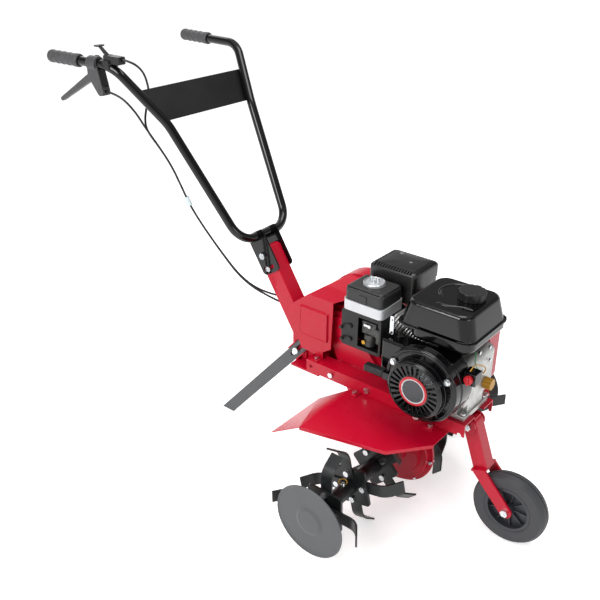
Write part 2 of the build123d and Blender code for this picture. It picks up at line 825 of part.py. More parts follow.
# Pulleys: grooved for both belts, the driven one dished and pierced, the driver solid
belt_flare = (belt_top_w - belt_low_w) / (2 * belt_h)
for name, hub_x, hub_z, pitch_r, bore_r in (("driven_pulley", input_x, input_z, driven_r, input_shaft_r),
                                            ("engine_pulley", crank_x, crank_z, driver_r, crank_r)):
    rim_top = belt_rise + groove_extra
    groove_low = belt_rise - belt_h - groove_extra
    with BuildPart() as pulley:
        rod_y(hub_x, hub_z, pulley_y0, pulley_y1, pitch_r + rim_top)
        with BuildSketch(facing(hub_x)):
            for belt_y in drive_belt_y:
                top_half = belt_top_w / 2 + belt_flare * 2 * groove_extra + pulley_side_gap
                low_half = belt_low_w / 2 - belt_flare * groove_extra + pulley_side_gap
                with Locations((belt_y, hub_z + pitch_r)):
                    Polygon((-top_half, rim_top + groove_extra), (top_half, rim_top + groove_extra),
                            (low_half, groove_low), (-low_half, groove_low), align=None)
        revolve(axis=Axis((hub_x, 0, hub_z), (0, 1, 0)), mode=Mode.SUBTRACT)
        if pitch_r > 2 * pulley_rim + pulley_hub_r:
            dish_r = pitch_r - pulley_rim
            web_y = (pulley_y0 + pulley_y1) / 2
            for dish_y0, dish_y1 in ((pulley_y0, web_y - pulley_web / 2),
                                     (web_y + pulley_web / 2, pulley_y1)):
                rod_y(hub_x, hub_z, dish_y0, dish_y1, dish_r, mode=Mode.SUBTRACT)
            rod_y(hub_x, hub_z, pulley_y0, pulley_y1, pulley_hub_r)
            with BuildSketch(side(pulley_y1)):
                with Locations((hub_x, hub_z)):
                    with PolarLocations((dish_r + pulley_hub_r) / 2, pulley_holes):
                        Circle(pulley_hole_r)
            extrude(amount=pulley_y1 - pulley_y0, mode=Mode.SUBTRACT)
        rod_y(hub_x, hub_z, pulley_y0, pulley_y1, bore_r + seat_fit, mode=Mode.SUBTRACT)
    keep(pulley, name)

# Idler: arm and pulley that press the slack run of the belts when the clutch lever is squeezed
belt_span = math.hypot(crank_x - input_x, crank_z - input_z)
belt_slope = math.atan2(crank_z - input_z, crank_x - input_x)
slack_angle = belt_slope - math.pi / 2 + math.asin((driven_r - driver_r) / belt_span)
idler_depth = driven_r + belt_rise - belt_h - idler_gap - idler_r
idler_z = input_z + ((idler_x - input_x) * math.cos(slack_angle) - idler_depth) / -math.sin(slack_angle)
back_face = guard_back_y + guard_t
arm_y0 = back_face + idler_arm_gap
arm_y1 = arm_y0 + idler_arm_t
with BuildPart() as idler_arm:
    extrude(drive_hull(side(arm_y0), idler_pivot_x, idler_pivot_z, idler_arm_w / 2, idler_x, idler_z,
                       idler_arm_w / 2), amount=-idler_arm_t)
    rod_y(idler_x, idler_z, arm_y1, pulley_y1 - idler_arm_gap, idler_bolt_r)
    rod_y(idler_x, idler_z, arm_y1, idler_y0 - easy_fit, idler_bolt_r + idler_arm_gap)
    rod_y(idler_x, idler_z, idler_y1 + easy_fit, pulley_y1, idler_bolt_r + idler_arm_gap)
    rod_y(idler_pivot_x, idler_pivot_z, arm_y0, arm_y1, idler_bolt_r + run_fit, mode=Mode.SUBTRACT)
keep(idler_arm, "idler_arm")
with BuildPart() as idler_pulley:
    rod_y(idler_x, idler_z, idler_y0, idler_y1, idler_r)
    rod_y(idler_x, idler_z, idler_y0, idler_y1, idler_bolt_r + run_fit, mode=Mode.SUBTRACT)
    for end_y in (idler_y0, idler_y1):
        rod_y(idler_x, idler_z, end_y - idler_arm_gap, end_y + idler_arm_gap, idler_r - 2 * idler_arm_gap,
              mode=Mode.SUBTRACT)
        rod_y(idler_x, idler_z, idler_y0, idler_y1, idler_bolt_r + 2 * idler_arm_gap)
        rod_y(idler_x, idler_z, idler_y0, idler_y1, idler_bolt_r + run_fit, mode=Mode.SUBTRACT)
keep(idler_pulley, "idler_pulley")


def inset(points, amount):
    """Corners of a polygon moved inward so that every edge steps in by the same amount."""
    moved = []
    for before, here, after in zip(points[-1:] + points[:-1], points, points[1:] + points[:1]):
        edge_in = Vector(here[0] - before[0], here[1] - before[1], 0).normalized()
        edge_out = Vector(after[0] - here[0], after[1] - here[1], 0).normalized()
        step = (Vector(0, 0, 1).cross(edge_in) + Vector(0, 0, 1).cross(edge_out)).normalized()
        reach = amount / step.dot(Vector(0, 0, 1).cross(edge_in))
        moved.append((here[0] + step.X * reach, here[1] + step.Y * reach))
    return moved


def cover_face(plane, step=0.0):
    """Outline of the belt drive's casing: round at the rear, square with round corners at the front."""
    corner_x = cover_front_x - cover_corner_r
    low, high = cover_front_z
    return round_hull(plane, (input_x, input_z, cover_rear_r - step),
                      (corner_x, low + cover_corner_r, cover_corner_r - step),
                      (corner_x, high - cover_corner_r, cover_corner_r - step))


# Belt guard: back plate of the belt drive and the hood over the top of the chain case
with BuildPart() as belt_guard:
    extrude(cover_face(side(guard_back_y)), amount=-guard_t)
    for depth, mode in ((0, Mode.ADD), (guard_t, Mode.SUBTRACT)):
        for section_y, corners in ((guard_side_y - guard_t + depth, guard_near),
                                   (guard_middle_y, guard_middle),
                                   (guard_back_y, guard_far)):
            with BuildSketch(side(section_y)):
                Polygon(*[(x + 3 * depth * (x > guard_front_x), z) for x, z in inset(corners, depth)],
                        align=None)
        loft(ruled=True, mode=mode)
    block(guard_open_x, guard_far[3][0] + guard_t, guard_side_y, guard_back_y, rail_top, guard_open_z,
          mode=Mode.SUBTRACT)
    with BuildSketch(side(guard_side_y)):
        with Locations(guard_badge):
            RectangleRounded(guard_badge_w, guard_badge_h, guard_badge_round)
    extrude(amount=guard_t + guard_badge_rise, taper=guard_badge_taper)
    block(guard_foot_x, guard_foot_x + guard_foot_w, guard_side_y - guard_t, guard_side_y, rail_top,
          guard_foot_top)
    block(guard_foot_x, guard_foot_x + guard_foot_w, guard_side_y - guard_foot_w, guard_side_y, rail_top,
          rail_top + guard_t)
    with Locations((guard_bolt_x, guard_bolt_y, rail_top)):
        Cylinder(mount_bolt_r + bolt_fit, 4 * guard_t, mode=Mode.SUBTRACT)
    block(-mast_bottom, guard_foot_x, guard_side_y, cheek_in + plate_t + mast_clear, rail_top,
          cheek_top + mast_clear, mode=Mode.SUBTRACT)
    with BuildSketch(mast_plane):
        Rectangle(mast_d + 2 * mast_clear, mast_w + 2 * mast_clear)
    extrude(amount=mast_bottom + mast_d + mast_over, mode=Mode.SUBTRACT)
    rod_y(input_x, input_z, 0, cover_y, guard_shaft_hole, mode=Mode.SUBTRACT)
    rod_y(crank_x, crank_z, 0, cover_y, guard_crank_hole, mode=Mode.SUBTRACT)
    rod_y(idler_pivot_x, idler_pivot_z, back_face - guard_t / 2, arm_y1 + easy_fit, idler_bolt_r)
    rod_y(idler_pivot_x, idler_pivot_z, arm_y1 + easy_fit, arm_y1 + easy_fit + guard_t,
          idler_arm_w / 2 - guard_t)
keep(belt_guard, "belt_guard")

# Belt cover: outer pressing that closes the belt drive, with a raised centre panel
with BuildPart() as belt_cover:
    panel_y = cover_y - guard_emboss
    extrude(cover_face(side(back_face)), amount=back_face - panel_y)
    rim_edges = belt_cover.faces().sort_by(Axis.Y)[-1].edges()
    fillet(rim_edges, cover_round)
    extrude(cover_face(side(panel_y - guard_t), cover_margin), amount=-guard_t - guard_emboss)
    raised_edges = belt_cover.faces().sort_by(Axis.Y)[-1].edges()
    fillet(raised_edges, guard_emboss - guard_t / 2)
    extrude(cover_face(side(back_face), guard_t), amount=back_face - panel_y + guard_t + guard_emboss,
            mode=Mode.SUBTRACT)
keep(belt_cover, "belt_cover")

# Engine block: crankcase on its feet with the finned barrel leaning back
barrel_axis = Vector(-math.cos(math.radians(barrel_tilt)), 0, math.sin(math.radians(barrel_tilt)))
barrel_up = Vector(math.sin(math.radians(barrel_tilt)), 0, math.cos(math.radians(barrel_tilt)))
crank = Vector(crank_x, 0, crank_z)


def barrel_plane(distance):
    """Plane square to the cylinder: sketch coordinates are across the machine and up the fins."""
    return Plane(origin=crank + barrel_axis * distance, x_dir=(0, 1, 0), z_dir=barrel_axis)


barrel_end = barrel_from + barrel_fins * fin_pitch
with BuildPart() as engine_block:
    block(block_x0, block_x1, block_y0, block_y1, rail_top + foot_h / 2, block_top)
    case_edges = engine_block.edges().filter_by(Axis.Y)
    fillet(case_edges.group_by(Axis.Z)[-1], block_round)
    with BuildSketch(side(block_y1 - foot_h)):
        with Locations((crank_x, crank_z)):
            Circle(side_cover_r)
    extrude(amount=-foot_h - fin_t)
    block(crank_x - mount_x - foot_w / 2, crank_x + mount_x + foot_w / 2, -mount_y - foot_w / 2,
          mount_y + foot_w / 2, rail_top, rail_top + foot_h)
    with BuildSketch(barrel_plane(0)):
        Circle(barrel_r)
    extrude(amount=barrel_end)
    for i in range(barrel_fins):
        with BuildSketch(barrel_plane(barrel_from + i * fin_pitch)):
            RectangleRounded(fin_y, fin_w, cleaner_round)
        extrude(amount=fin_t)
    with Locations((crank_x, 0, rail_top)):
        with GridLocations(2 * mount_x, 2 * mount_y, 2, 2):
            Cylinder(mount_bolt_r + bolt_fit, 4 * foot_h, mode=Mode.SUBTRACT)
    rod_y(crank_x, crank_z, block_y0 - foot_h, block_y1 + foot_h, crank_r + run_fit, mode=Mode.SUBTRACT)
    for bolt_x in (crank_x - mount_x, crank_x + mount_x):
        for hand in (-1, 1):
            block(bolt_x - foot_pocket, bolt_x + foot_pocket, hand * (mount_y - foot_pocket), hand * fin_y,
                  rail_top + foot_h, rail_top + foot_h + 2 * foot_pocket, mode=Mode.SUBTRACT)
    with Locations((block_x1, oil_y, oil_z)):
        Cylinder(oil_r + bolt_fit, 2 * oil_seat, rotation=(0, 90, 0), mode=Mode.SUBTRACT)
keep(engine_block, "engine_block")

# Cylinder head with its own fins, and the pressed rocker cover
with BuildPart() as cylinder_head:
    with BuildSketch(barrel_plane(barrel_end)):
        RectangleRounded(fin_y - 2 * fin_pitch, fin_w - 2 * fin_t, cleaner_round)
    extrude(amount=head_len)
    for i in range(head_fins):
        with BuildSketch(barrel_plane(barrel_end + i * fin_pitch + fin_t)):
            RectangleRounded(fin_y, fin_w, cleaner_round)
        extrude(amount=fin_t)
keep(cylinder_head, "cylinder_head")
with BuildPart() as rocker_cover:
    with BuildSketch(barrel_plane(barrel_end + head_len)):
        RectangleRounded(cover_w + 2 * fin_pitch, cover_h + fin_pitch, cleaner_round)
    extrude(amount=fin_t)
    with BuildSketch(barrel_plane(barrel_end + head_len + fin_t)):
        RectangleRounded(cover_w, cover_h, cleaner_round)
    extrude(amount=cover_len - fin_t)
    dome = rocker_cover.faces().sort_by(Axis(tuple(crank), tuple(barrel_axis)))[-1].edges()
    fillet(dome, fin_pitch)
keep(rocker_cover, "rocker_cover")

# Spark plug in the underside of the head
with BuildPart() as spark_plug:
    plug_mid = crank + barrel_axis * (barrel_end + head_len / 2)
    plug_seat = plug_mid - barrel_up * fin_w / 2 + Vector(0, plug_y, 0)
    with BuildSketch(Plane(origin=plug_seat, z_dir=-barrel_up)):
        RegularPolygon(plug_r, hex_sides)
    extrude(amount=plug_r)
    with BuildSketch(Plane(origin=plug_seat - barrel_up * plug_r, z_dir=-barrel_up)):
        Circle(plug_r * 2 / 3)
    extrude(amount=plug_len - plug_r)
keep(spark_plug, "spark_plug")

# Oil plug with its ribbed grip on the front of the crankcase
with BuildPart() as oil_plug:
    with Locations((block_x1, oil_y, oil_z)):
        Cylinder(oil_r, 2 * oil_seat - easy_fit, rotation=(0, 90, 0))
    with BuildSketch(facing(block_x1 + easy_fit)):
        with Locations((oil_y, oil_z)):
            Circle(oil_r + oil_seat)
            with PolarLocations(oil_r + oil_seat, cap_lobes):
                Circle(oil_seat / 2, mode=Mode.SUBTRACT)
    extrude(amount=oil_len)
keep(oil_plug, "oil_plug")

# Fan housing: shroud round the flywheel with a duct towards the barrel and the switch box
with BuildPart() as fan_housing:
    for depth, start_y, end_y, mode in ((0, fan_y0, fan_y1, Mode.ADD),
                                        (fan_wall, fan_y0, fan_y1 + fan_wall, Mode.SUBTRACT)):
        with BuildSketch(side(start_y)) as shroud:
            with Locations((crank_x, crank_z)):
                Circle(fan_r - depth)
            duct_x0 = fan_left_x + depth
            duct_z0 = fan_left_low + depth
            duct_z1 = fan_top_z - depth
            with Locations(((duct_x0 + crank_x) / 2, (duct_z0 + duct_z1) / 2)):
                Rectangle(crank_x - duct_x0, duct_z1 - duct_z0)
            with Locations((crank_x, duct_z1 + fan_r)):
                Rectangle(4 * fan_r, 2 * fan_r, mode=Mode.SUBTRACT)
            with Locations((crank_x, rail_top + fan_lift + depth - fan_r)):
                Rectangle(4 * fan_r, 2 * fan_r, mode=Mode.SUBTRACT)
        extrude(shroud.sketch, amount=start_y - end_y, mode=mode)
        if depth == 0:
            front_edges = fan_housing.faces().sort_by(Axis.Y)[0].edges()
            fillet(front_edges, fan_round)
            block(switch_x - switch_box, switch_x + switch_box, switch_y, switch_y + 2 * switch_box,
                  switch_z - switch_box, switch_z + switch_box)
    rod_y(crank_x, crank_z, fan_y1, fan_y1 + fan_wall, recoil_r)
    rod_y(crank_x, crank_z, fan_y1, fan_y1 + 2 * fan_wall, fan_mouth_r, mode=Mode.SUBTRACT)
    block(governor_x - governor_w, governor_x + governor_w, governor_y + governor_t,
          governor_y + 3 * governor_t,
          fan_top_z - fan_wall, governor_low + governor_w)
    rod_y(governor_x, governor_low + governor_w / 2, governor_y - 2 * governor_t,
          governor_y + 2 * governor_t,
          lever_pivot_r)
    rod_y(switch_x, switch_z, switch_y - switch_pin, switch_y + switch_pin, lever_pivot_r)
keep(fan_housing, "fan_housing")

# Recoil cover: stepped drum with air slots in its raised middle, a plain centre and a lip for the pull handle
recoil_steps = ((recoil_step_y, recoil_r), (recoil_y, recoil_crown_r))
with BuildPart() as recoil_cover:
    for step_y, step_r in recoil_steps:
        rod_y(crank_x, crank_z, fan_y1 - seat_fit, step_y, step_r)
        fillet(recoil_cover.faces().sort_by(Axis.Y)[0].edges(), recoil_round)
    lip_x1 = crank_x - recoil_crown_r + recoil_wall
    block(pull_x1 + easy_fit, lip_x1, pull_y - pull_w / 2, pull_y + pull_w / 2, pull_z - pull_h / 2,
          pull_z + pull_h / 2)
    for step_y, step_r in recoil_steps:
        rod_y(crank_x, crank_z, fan_y1 - seat_fit, step_y + recoil_wall, step_r - 2 * recoil_wall,
              mode=Mode.SUBTRACT)
    with BuildSketch(side(recoil_y - recoil_wall)):
        with Locations((crank_x, crank_z)):
            with PolarLocations((slot_in_r + slot_out_r) / 2, recoil_slots):
                SlotOverall(slot_out_r - slot_in_r, recoil_slot_w)
    extrude(amount=-3 * recoil_wall, mode=Mode.SUBTRACT)
    with BuildSketch(side(recoil_y)):
        with Locations((crank_x, crank_z)):
            Circle(emblem_r)
            Circle(emblem_r - recoil_wall, mode=Mode.SUBTRACT)
    extrude(amount=-recoil_wall / 2, both=True)
    with BuildSketch(side(recoil_step_y)):
        with Locations((crank_x, crank_z)):
            with PolarLocations(recoil_bolt_at, recoil_bolts, start_angle=360 / recoil_bolts / 4):
                Circle(recoil_bolt_r)
    extrude(amount=recoil_wall)
    with Locations((lip_x1, pull_y, pull_z)):
        Cylinder(rope_r + easy_fit, 4 * pull_w, rotation=(0, 90, 0), mode=Mode.SUBTRACT)
keep(recoil_cover, "recoil_cover")

# Pull handle of the starter, with a short length of its rope in the lip
with BuildPart() as pull_handle:
    block(pull_x0, pull_x1, pull_y - pull_w / 2, pull_y + pull_w / 2, pull_z - pull_h / 2,
          pull_z + pull_h / 2)
    fillet(pull_handle.edges(), pull_h / 4)
    with Locations(((pull_x1 + lip_x1) / 2, pull_y, pull_z)):
        Cylinder(rope_r, lip_x1 - pull_x1, rotation=(0, 90, 0))
keep(pull_handle, "pull_handle")

# Crankshaft with its flywheel
with BuildPart() as crankshaft:
    rod_y(crank_x, crank_z, flywheel_y0, crank_end_y, crank_r)
    rod_y(crank_x, crank_z, flywheel_y0, flywheel_y1, flywheel_r)
    rod_y(crank_x, crank_z, flywheel_y0, flywheel_y0 + flywheel_dish, flywheel_r - fin_pitch,
          mode=Mode.SUBTRACT)
    with BuildSketch(side(flywheel_y0 + flywheel_dish)):
        with Locations((crank_x, crank_z)):
            with PolarLocations(flywheel_r - 2 * flywheel_dish, flywheel_vanes):
                Rectangle(2 * flywheel_dish, fin_t)
    extrude(amount=flywheel_dish)
    rod_y(crank_x, crank_z, flywheel_y0, flywheel_y1, 2 * crank_r)
keep(crankshaft, "crankshaft")


def tank_section(z, inset_x, inset_y, left=0.0):
    """Rounded outline of the tank at one height, with its left end set in further."""
    with BuildSketch(Plane.XY.offset(z)) as section:
        with Locations(((tank_x0 + left + tank_x1) / 2, (tank_y0 + tank_y1) / 2)):
            RectangleRounded(tank_x1 - tank_x0 - left - 2 * inset_x, tank_y1 - tank_y0 - 2 * inset_y,
                             tank_round - tank_flange)
    return section.sketch


# Fuel tank: a drawn upper half and a lower pan joined at a seam, a filler neck and feet on the crankcase
with BuildPart() as fuel_tank:
    for wall, mode in ((0, Mode.ADD), (tank_wall, Mode.SUBTRACT)):
        loft([tank_section(tank_seam + wall, tank_flange + wall, tank_flange + wall),
              tank_section(tank_top - wall, tank_taper_x + wall, tank_taper_y + wall)], mode=mode)
        extrude(tank_section(tank_low + wall, tank_flange + wall, tank_under + wall, tank_pan_left),
                amount=tank_seam - tank_low + wall, mode=mode)
        if wall == 0:
            fillet(fuel_tank.faces().sort_by(Axis.Z)[-1].edges(), tank_edge)
            fillet(fuel_tank.faces().sort_by(Axis.Z)[0].edges(), tank_edge)
    extrude(tank_section(tank_seam - tank_seam_t / 2, 0, 0)
            - tank_section(tank_seam - tank_seam_t / 2, tank_flange + tank_wall, tank_flange + tank_wall),
            amount=tank_seam_t)
    with Locations((cap_x, cap_y, tank_top + neck_h / 2 - tank_wall)):
        Cylinder(neck_r, neck_h + tank_wall)
    with Locations((cap_x, cap_y, tank_top)):
        Cylinder(neck_r - tank_wall, 4 * neck_h, mode=Mode.SUBTRACT)
    for foot_y in (-mount_y / 2, mount_y):
        block(crank_x - foot_h, crank_x + mount_y, foot_y - foot_h, foot_y + foot_h, block_top,
              tank_low + tank_wall / 2)
keep(fuel_tank, "fuel_tank")

# Fuel cap: lobed grip over the neck
cap_low = tank_top + 2 * easy_fit
with BuildPart() as fuel_cap:
    with BuildSketch(Plane.XY.offset(cap_low)):
        with Locations((cap_x, cap_y)):
            Circle(cap_r)
            with PolarLocations(cap_r + cap_lobe_r / 2, cap_lobes):
                Circle(cap_lobe_r, mode=Mode.SUBTRACT)
    extrude(amount=cap_h)
    fillet(fuel_cap.faces().sort_by(Axis.Z)[-1].edges(), fan_wall)
    with BuildSketch(Plane.XY.offset(cap_low)):
        with Locations((cap_x, cap_y)):
            Circle(neck_r + easy_fit)
    extrude(amount=neck_h, mode=Mode.SUBTRACT)
keep(fuel_cap, "fuel_cap")


def cleaner_section(z, step=0.0):
    """Rounded outline of the air cleaner at one height."""
    with BuildSketch(Plane.XY.offset(z)) as section:
        with Locations(((cleaner_x0 + cleaner_x1) / 2, (cleaner_y0 + cleaner_y1) / 2)):
            RectangleRounded(cleaner_x1 - cleaner_x0 - 2 * step, cleaner_y1 - cleaner_y0 - 2 * step,
                             cleaner_round)
    return section.sketch


# Air cleaner: bright base band and the dark cover held by a nut
with BuildPart() as air_cleaner_base:
    extrude(cleaner_section(cleaner_base_z), amount=cleaner_band_z - cleaner_base_z)
    with Locations((nut_x, nut_y, (cleaner_band_z + cleaner_top) / 2)):
        Cylinder(frame_bolt_r, cleaner_top - cleaner_band_z + 2 * nut_h)
    with Locations((nut_x, nut_y, cleaner_top + nut_h / 2)):
        Cylinder(nut_r, nut_h)
    block(nut_x - wing_half, nut_x + wing_half, nut_y - wing_t / 2, nut_y + wing_t / 2, cleaner_top + nut_h,
          cleaner_top + nut_h + wing_h)
    fillet(air_cleaner_base.faces().sort_by(Axis.Z)[-1].edges().filter_by(Axis.Y), wing_t)
keep(air_cleaner_base, "air_cleaner_base")
with BuildPart() as air_cleaner_cover:
    extrude(cleaner_section(cleaner_band_z, fan_wall), amount=cleaner_top - cleaner_band_z)
    fillet(air_cleaner_cover.faces().sort_by(Axis.Z)[-1].edges(), cleaner_edge)
    extrude(cleaner_section(cleaner_band_z, 2 * fan_wall), amount=cleaner_top - cleaner_band_z - fan_wall,
            mode=Mode.SUBTRACT)
    with Locations((nut_x, nut_y, cleaner_top)):
        Cylinder(frame_bolt_r + bolt_fit, 4 * fan_wall, mode=Mode.SUBTRACT)
keep(air_cleaner_cover, "air_cleaner_cover")

# Control box: cover under the air cleaner with a window for the levers
box_y1 = cleaner_y0 + box_depth
with BuildPart() as control_box:
    block(cleaner_x0, cleaner_x1, cleaner_y0, box_y1, box_low_z, cleaner_base_z)
    fillet(control_box.edges().filter_by(Axis.Y), cleaner_round / 2)
    block(cleaner_x0 + box_t, cleaner_x1 - box_t, cleaner_y0 + box_t, box_y1, box_low_z + box_t,
          cleaner_base_z - box_t,
          mode=Mode.SUBTRACT)
    block(window_x0, window_x1, cleaner_y0, cleaner_y0 + box_t, window_z0, window_z1, mode=Mode.SUBTRACT)
    for lever_x, lever_z in (choke_at, fuel_at):
        rod_y(lever_x, lever_z, cleaner_y0 - lever_plate_t - 2 * easy_fit, cleaner_y0 + box_t,
              lever_pivot_r)
        rod_y(lever_x, lever_z, cleaner_y0 - lever_plate_t - 2 * easy_fit,
              cleaner_y0 - lever_plate_t - 2 * easy_fit - box_t / 2, 2 * lever_pivot_r)
keep(control_box, "control_box")

# Choke lever and fuel lever on the front of the control box
for name, (lever_x, lever_z), reach, lean in (("choke_lever", choke_at, choke_reach, choke_lean),
                                              ("fuel_lever", fuel_at, fuel_reach, fuel_lean)):
    end_x = lever_x + reach * math.cos(math.radians(lean))
    end_z = lever_z + reach * math.sin(math.radians(lean))
    with BuildPart() as small_lever:
        extrude(drive_hull(side(cleaner_y0 - easy_fit), lever_x, lever_z, lever_root_share * lever_pivot_r,
                           end_x, end_z,
                           lever_end_share * lever_pivot_r), amount=lever_plate_t)
        rod_y(end_x, end_z, cleaner_y0 - easy_fit - lever_plate_t, cleaner_y0 - easy_fit - knob_len,
              lever_end_share * lever_pivot_r)
        rod_y(lever_x, lever_z, cleaner_y0 - knob_len, cleaner_y0, lever_pivot_r + run_fit,
              mode=Mode.SUBTRACT)
    keep(small_lever, name)

# Carburettor: throat into the head, float bowl and stub to the air cleaner
with BuildPart() as carburettor:
    rod_y(carb_x, carb_z, cleaner_y0 + 2 * box_t, carb_y1, carb_r)
    with Locations((carb_x, (cleaner_y0 + box_y1) / 2, carb_z - bowl_r)):
        Cylinder(bowl_r * 2 / 3, 2 * bowl_r)
    with Locations((carb_x, (cleaner_y0 + box_y1) / 2, (carb_z + cleaner_base_z - box_t) / 2)):
        Cylinder(carb_r * 2 / 3, cleaner_base_z - box_t - carb_z)
keep(carburettor, "carburettor")

# Muffler with its exhaust pipe, and the slotted guard round it
muffler_mid_x = (muffler_x0 + muffler_x1) / 2
muffler_mid_y = (muffler_y0 + muffler_y1) / 2
with BuildPart() as muffler:
    block(muffler_x0 + 2 * muffler_gap, muffler_x1 - 2 * muffler_gap, muffler_y0 + muffler_gap,
          muffler_y1 - muffler_gap,
          muffler_low + muffler_gap, muffler_top - 2 * muffler_gap)
    fillet(muffler.edges().filter_by(Axis.Y), muffler_round)
    block(muffler_x0 + 3 * muffler_gap, muffler_x1 - 3 * muffler_gap, muffler_y0 + muffler_gap + guard_t,
          muffler_y1 - muffler_gap - guard_t, muffler_low + 2 * muffler_gap, muffler_top - 3 * muffler_gap,
          mode=Mode.SUBTRACT)
    for x in (muffler_mid_x - muffler_stay_x, muffler_mid_x + muffler_stay_x):
        rod_y(x, muffler_low + muffler_stay_up, muffler_y0 + guard_t + easy_fit,
              muffler_y1 - guard_t - easy_fit,
              muffler_stay_r)
    with BuildLine() as pipe_line:
        FilletPolyline((pipe_x, fin_y / 2 + seat_fit, pipe_z), (pipe_x, pipe_y, pipe_z),
                       (pipe_x, pipe_y, muffler_low + 2 * muffler_gap), radius=pipe_bend)
    with BuildSketch(Plane(origin=pipe_line.line @ 0, z_dir=pipe_line.line % 0)):
        Circle(pipe_r)
    sweep(path=pipe_line.line)
keep(muffler, "muffler")


def crowned_box(wall):
    """Outer or inner form of the muffler guard: round corners and a crowned top."""
    with BuildPart() as form:
        block(muffler_x0 + wall, muffler_x1 - wall, muffler_y0 + wall, muffler_y1 - wall, muffler_low,
              muffler_top - wall)
        fillet(form.edges().filter_by(Axis.Z), muffler_round - wall)
        fillet(form.faces().sort_by(Axis.Z)[-1].edges(), muffler_crown - wall)
    return form.part


with BuildPart() as muffler_guard:
    add(crowned_box(0))
    add(crowned_box(guard_t), mode=Mode.SUBTRACT)
    slot_span = muffler_x1 - muffler_x0 - 4 * muffler_round
    slot_cut = muffler_slot_len + guard_t
    slot_mid = muffler_top + guard_t - slot_cut / 2
    for plane, along, way in ((side(muffler_y0 - guard_t), muffler_mid_x, -1),
                              (side(muffler_y1 + guard_t), muffler_mid_x, 1),
                              (facing(muffler_x1 + guard_t), muffler_mid_y, -1),
                              (facing(muffler_x0 - guard_t), muffler_mid_y, 1)):
        with BuildSketch(plane):
            with Locations((along, slot_mid)):
                with GridLocations(slot_span / (muffler_slots - 1), slot_cut, muffler_slots, 1):
                    Rectangle(muffler_slot_w, slot_cut)
        extrude(amount=way * slot_cut, mode=Mode.SUBTRACT)
    with Locations((muffler_mid_x, muffler_mid_y, muffler_top)):
        Cylinder(muffler_dimple_r, 2 * muffler_dimple, mode=Mode.SUBTRACT)
keep(muffler_guard, "muffler_guard")

# Governor arm and the engine switch knob
with BuildPart() as governor_arm:
    block(governor_x - governor_w / 2, governor_x + governor_w / 2, governor_y, governor_y - governor_t,
          governor_low, governor_high)
    fillet(governor_arm.edges().filter_by(Axis.Y), governor_w / 3)
    with BuildSketch(side(governor_y)):
        with Locations((governor_x, governor_high - governor_w)):
            SlotOverall(2 * lever_pivot_r, lever_pivot_r, rotation=90)
    extrude(amount=governor_t, mode=Mode.SUBTRACT)
    rod_y(governor_x, governor_low + governor_w / 2, governor_y, governor_y - governor_t,
          lever_pivot_r + run_fit,
          mode=Mode.SUBTRACT)
keep(governor_arm, "governor_arm")
with BuildPart() as engine_switch:
    knob_y0 = switch_y - easy_fit
    rod_y(switch_x, switch_z, knob_y0, knob_y0 - switch_pin, switch_r)
    block(switch_x - switch_r / 4, switch_x + switch_r / 4, knob_y0 - switch_pin,
          knob_y0 - switch_wing_share * switch_pin,
          switch_z - switch_r, switch_z + switch_r)
    rod_y(switch_x, switch_z, knob_y0 + easy_fit, switch_y - switch_pin - easy_fit, lever_pivot_r + run_fit,
          mode=Mode.SUBTRACT)
keep(engine_switch, "engine_switch")

# Rotor axle
with BuildPart() as rotor_axle:
    rod_y(rotor_x, rotor_z, -axle_half, axle_half, axle_r)
    for hand in (-1, 1):
        with Locations((rotor_x, hand * hub_pin_y, rotor_z)):
            Cylinder(hub_pin_r + bolt_fit, 4 * axle_r, mode=Mode.SUBTRACT)
keep(rotor_axle, "rotor_axle")

# Hubs: two tubes on each side with square flanges for the tines
with BuildPart() as tine_hubs:
    for hub_y0, hub_y1 in ((inner_hub_start, inner_hub_end), (inner_hub_end + 2 * easy_fit, outer_hub_end)):
        rod_y(rotor_x, rotor_z, -hub_y0, -hub_y1, hub_r)
    for flange_y, lean, bends in rotor_sets:
        with BuildSketch(side(-flange_y + flange_t / 2)):
            with Locations((rotor_x, rotor_z)):
                RectangleRounded(flange_size, flange_size, flange_t, rotation=-lean)
        extrude(amount=flange_t)
        with BuildSketch(side(-flange_y + flange_t / 2)):
            with Locations((rotor_x, rotor_z)):
                with PolarLocations(tine_bolt_u, 4, start_angle=-lean):
                    Circle(tine_bolt_r + bolt_fit)
        extrude(amount=flange_t, mode=Mode.SUBTRACT)
    rod_y(rotor_x, rotor_z, 0, -axle_half - easy_fit, axle_r + seat_fit, mode=Mode.SUBTRACT)
    with Locations((rotor_x, -hub_pin_y, rotor_z)):
        Cylinder(hub_pin_r + bolt_fit, 4 * hub_r, mode=Mode.SUBTRACT)
    mirror(about=Plane.XZ)
keep(tine_hubs, "tine_hubs")

# One tine: flat strap hanging down from its flange, bent outward and cut square
tine_face = flange_t / 2 + seat_fit
tine_turn = math.radians(tine_bend)
ground_turn = math.radians(abs(outer_lean))
tine_drop = (rotor_z - tine_w / 2 * math.sin(ground_turn)) / math.cos(ground_turn)
bend_at = tine_bend_at + tine_bend_r * math.tan(tine_turn / 2)
tine_reach = (tine_drop - bend_at - tine_t / 2 * math.sin(tine_turn)) / math.cos(tine_turn)
strap_y = tine_face + tine_t / 2
with BuildPart() as tine:
    with BuildSketch(Plane(origin=(0, 0, 0), x_dir=(0, 0, -1), z_dir=(-1, 0, 0))):
        with BuildLine():
            FilletPolyline((tine_root, strap_y), (bend_at, strap_y),
                           (tine_drop - tine_t / 2 * math.sin(tine_turn),
                            strap_y + tine_reach * math.sin(tine_turn)),
                           radius=tine_bend_r)
        trace(line_width=tine_t)
    extrude(amount=tine_w / 2, both=True)
    rod_y(0, -tine_bolt_u, -tine_face - tine_t, 0, tine_bolt_r + bolt_fit, mode=Mode.SUBTRACT)

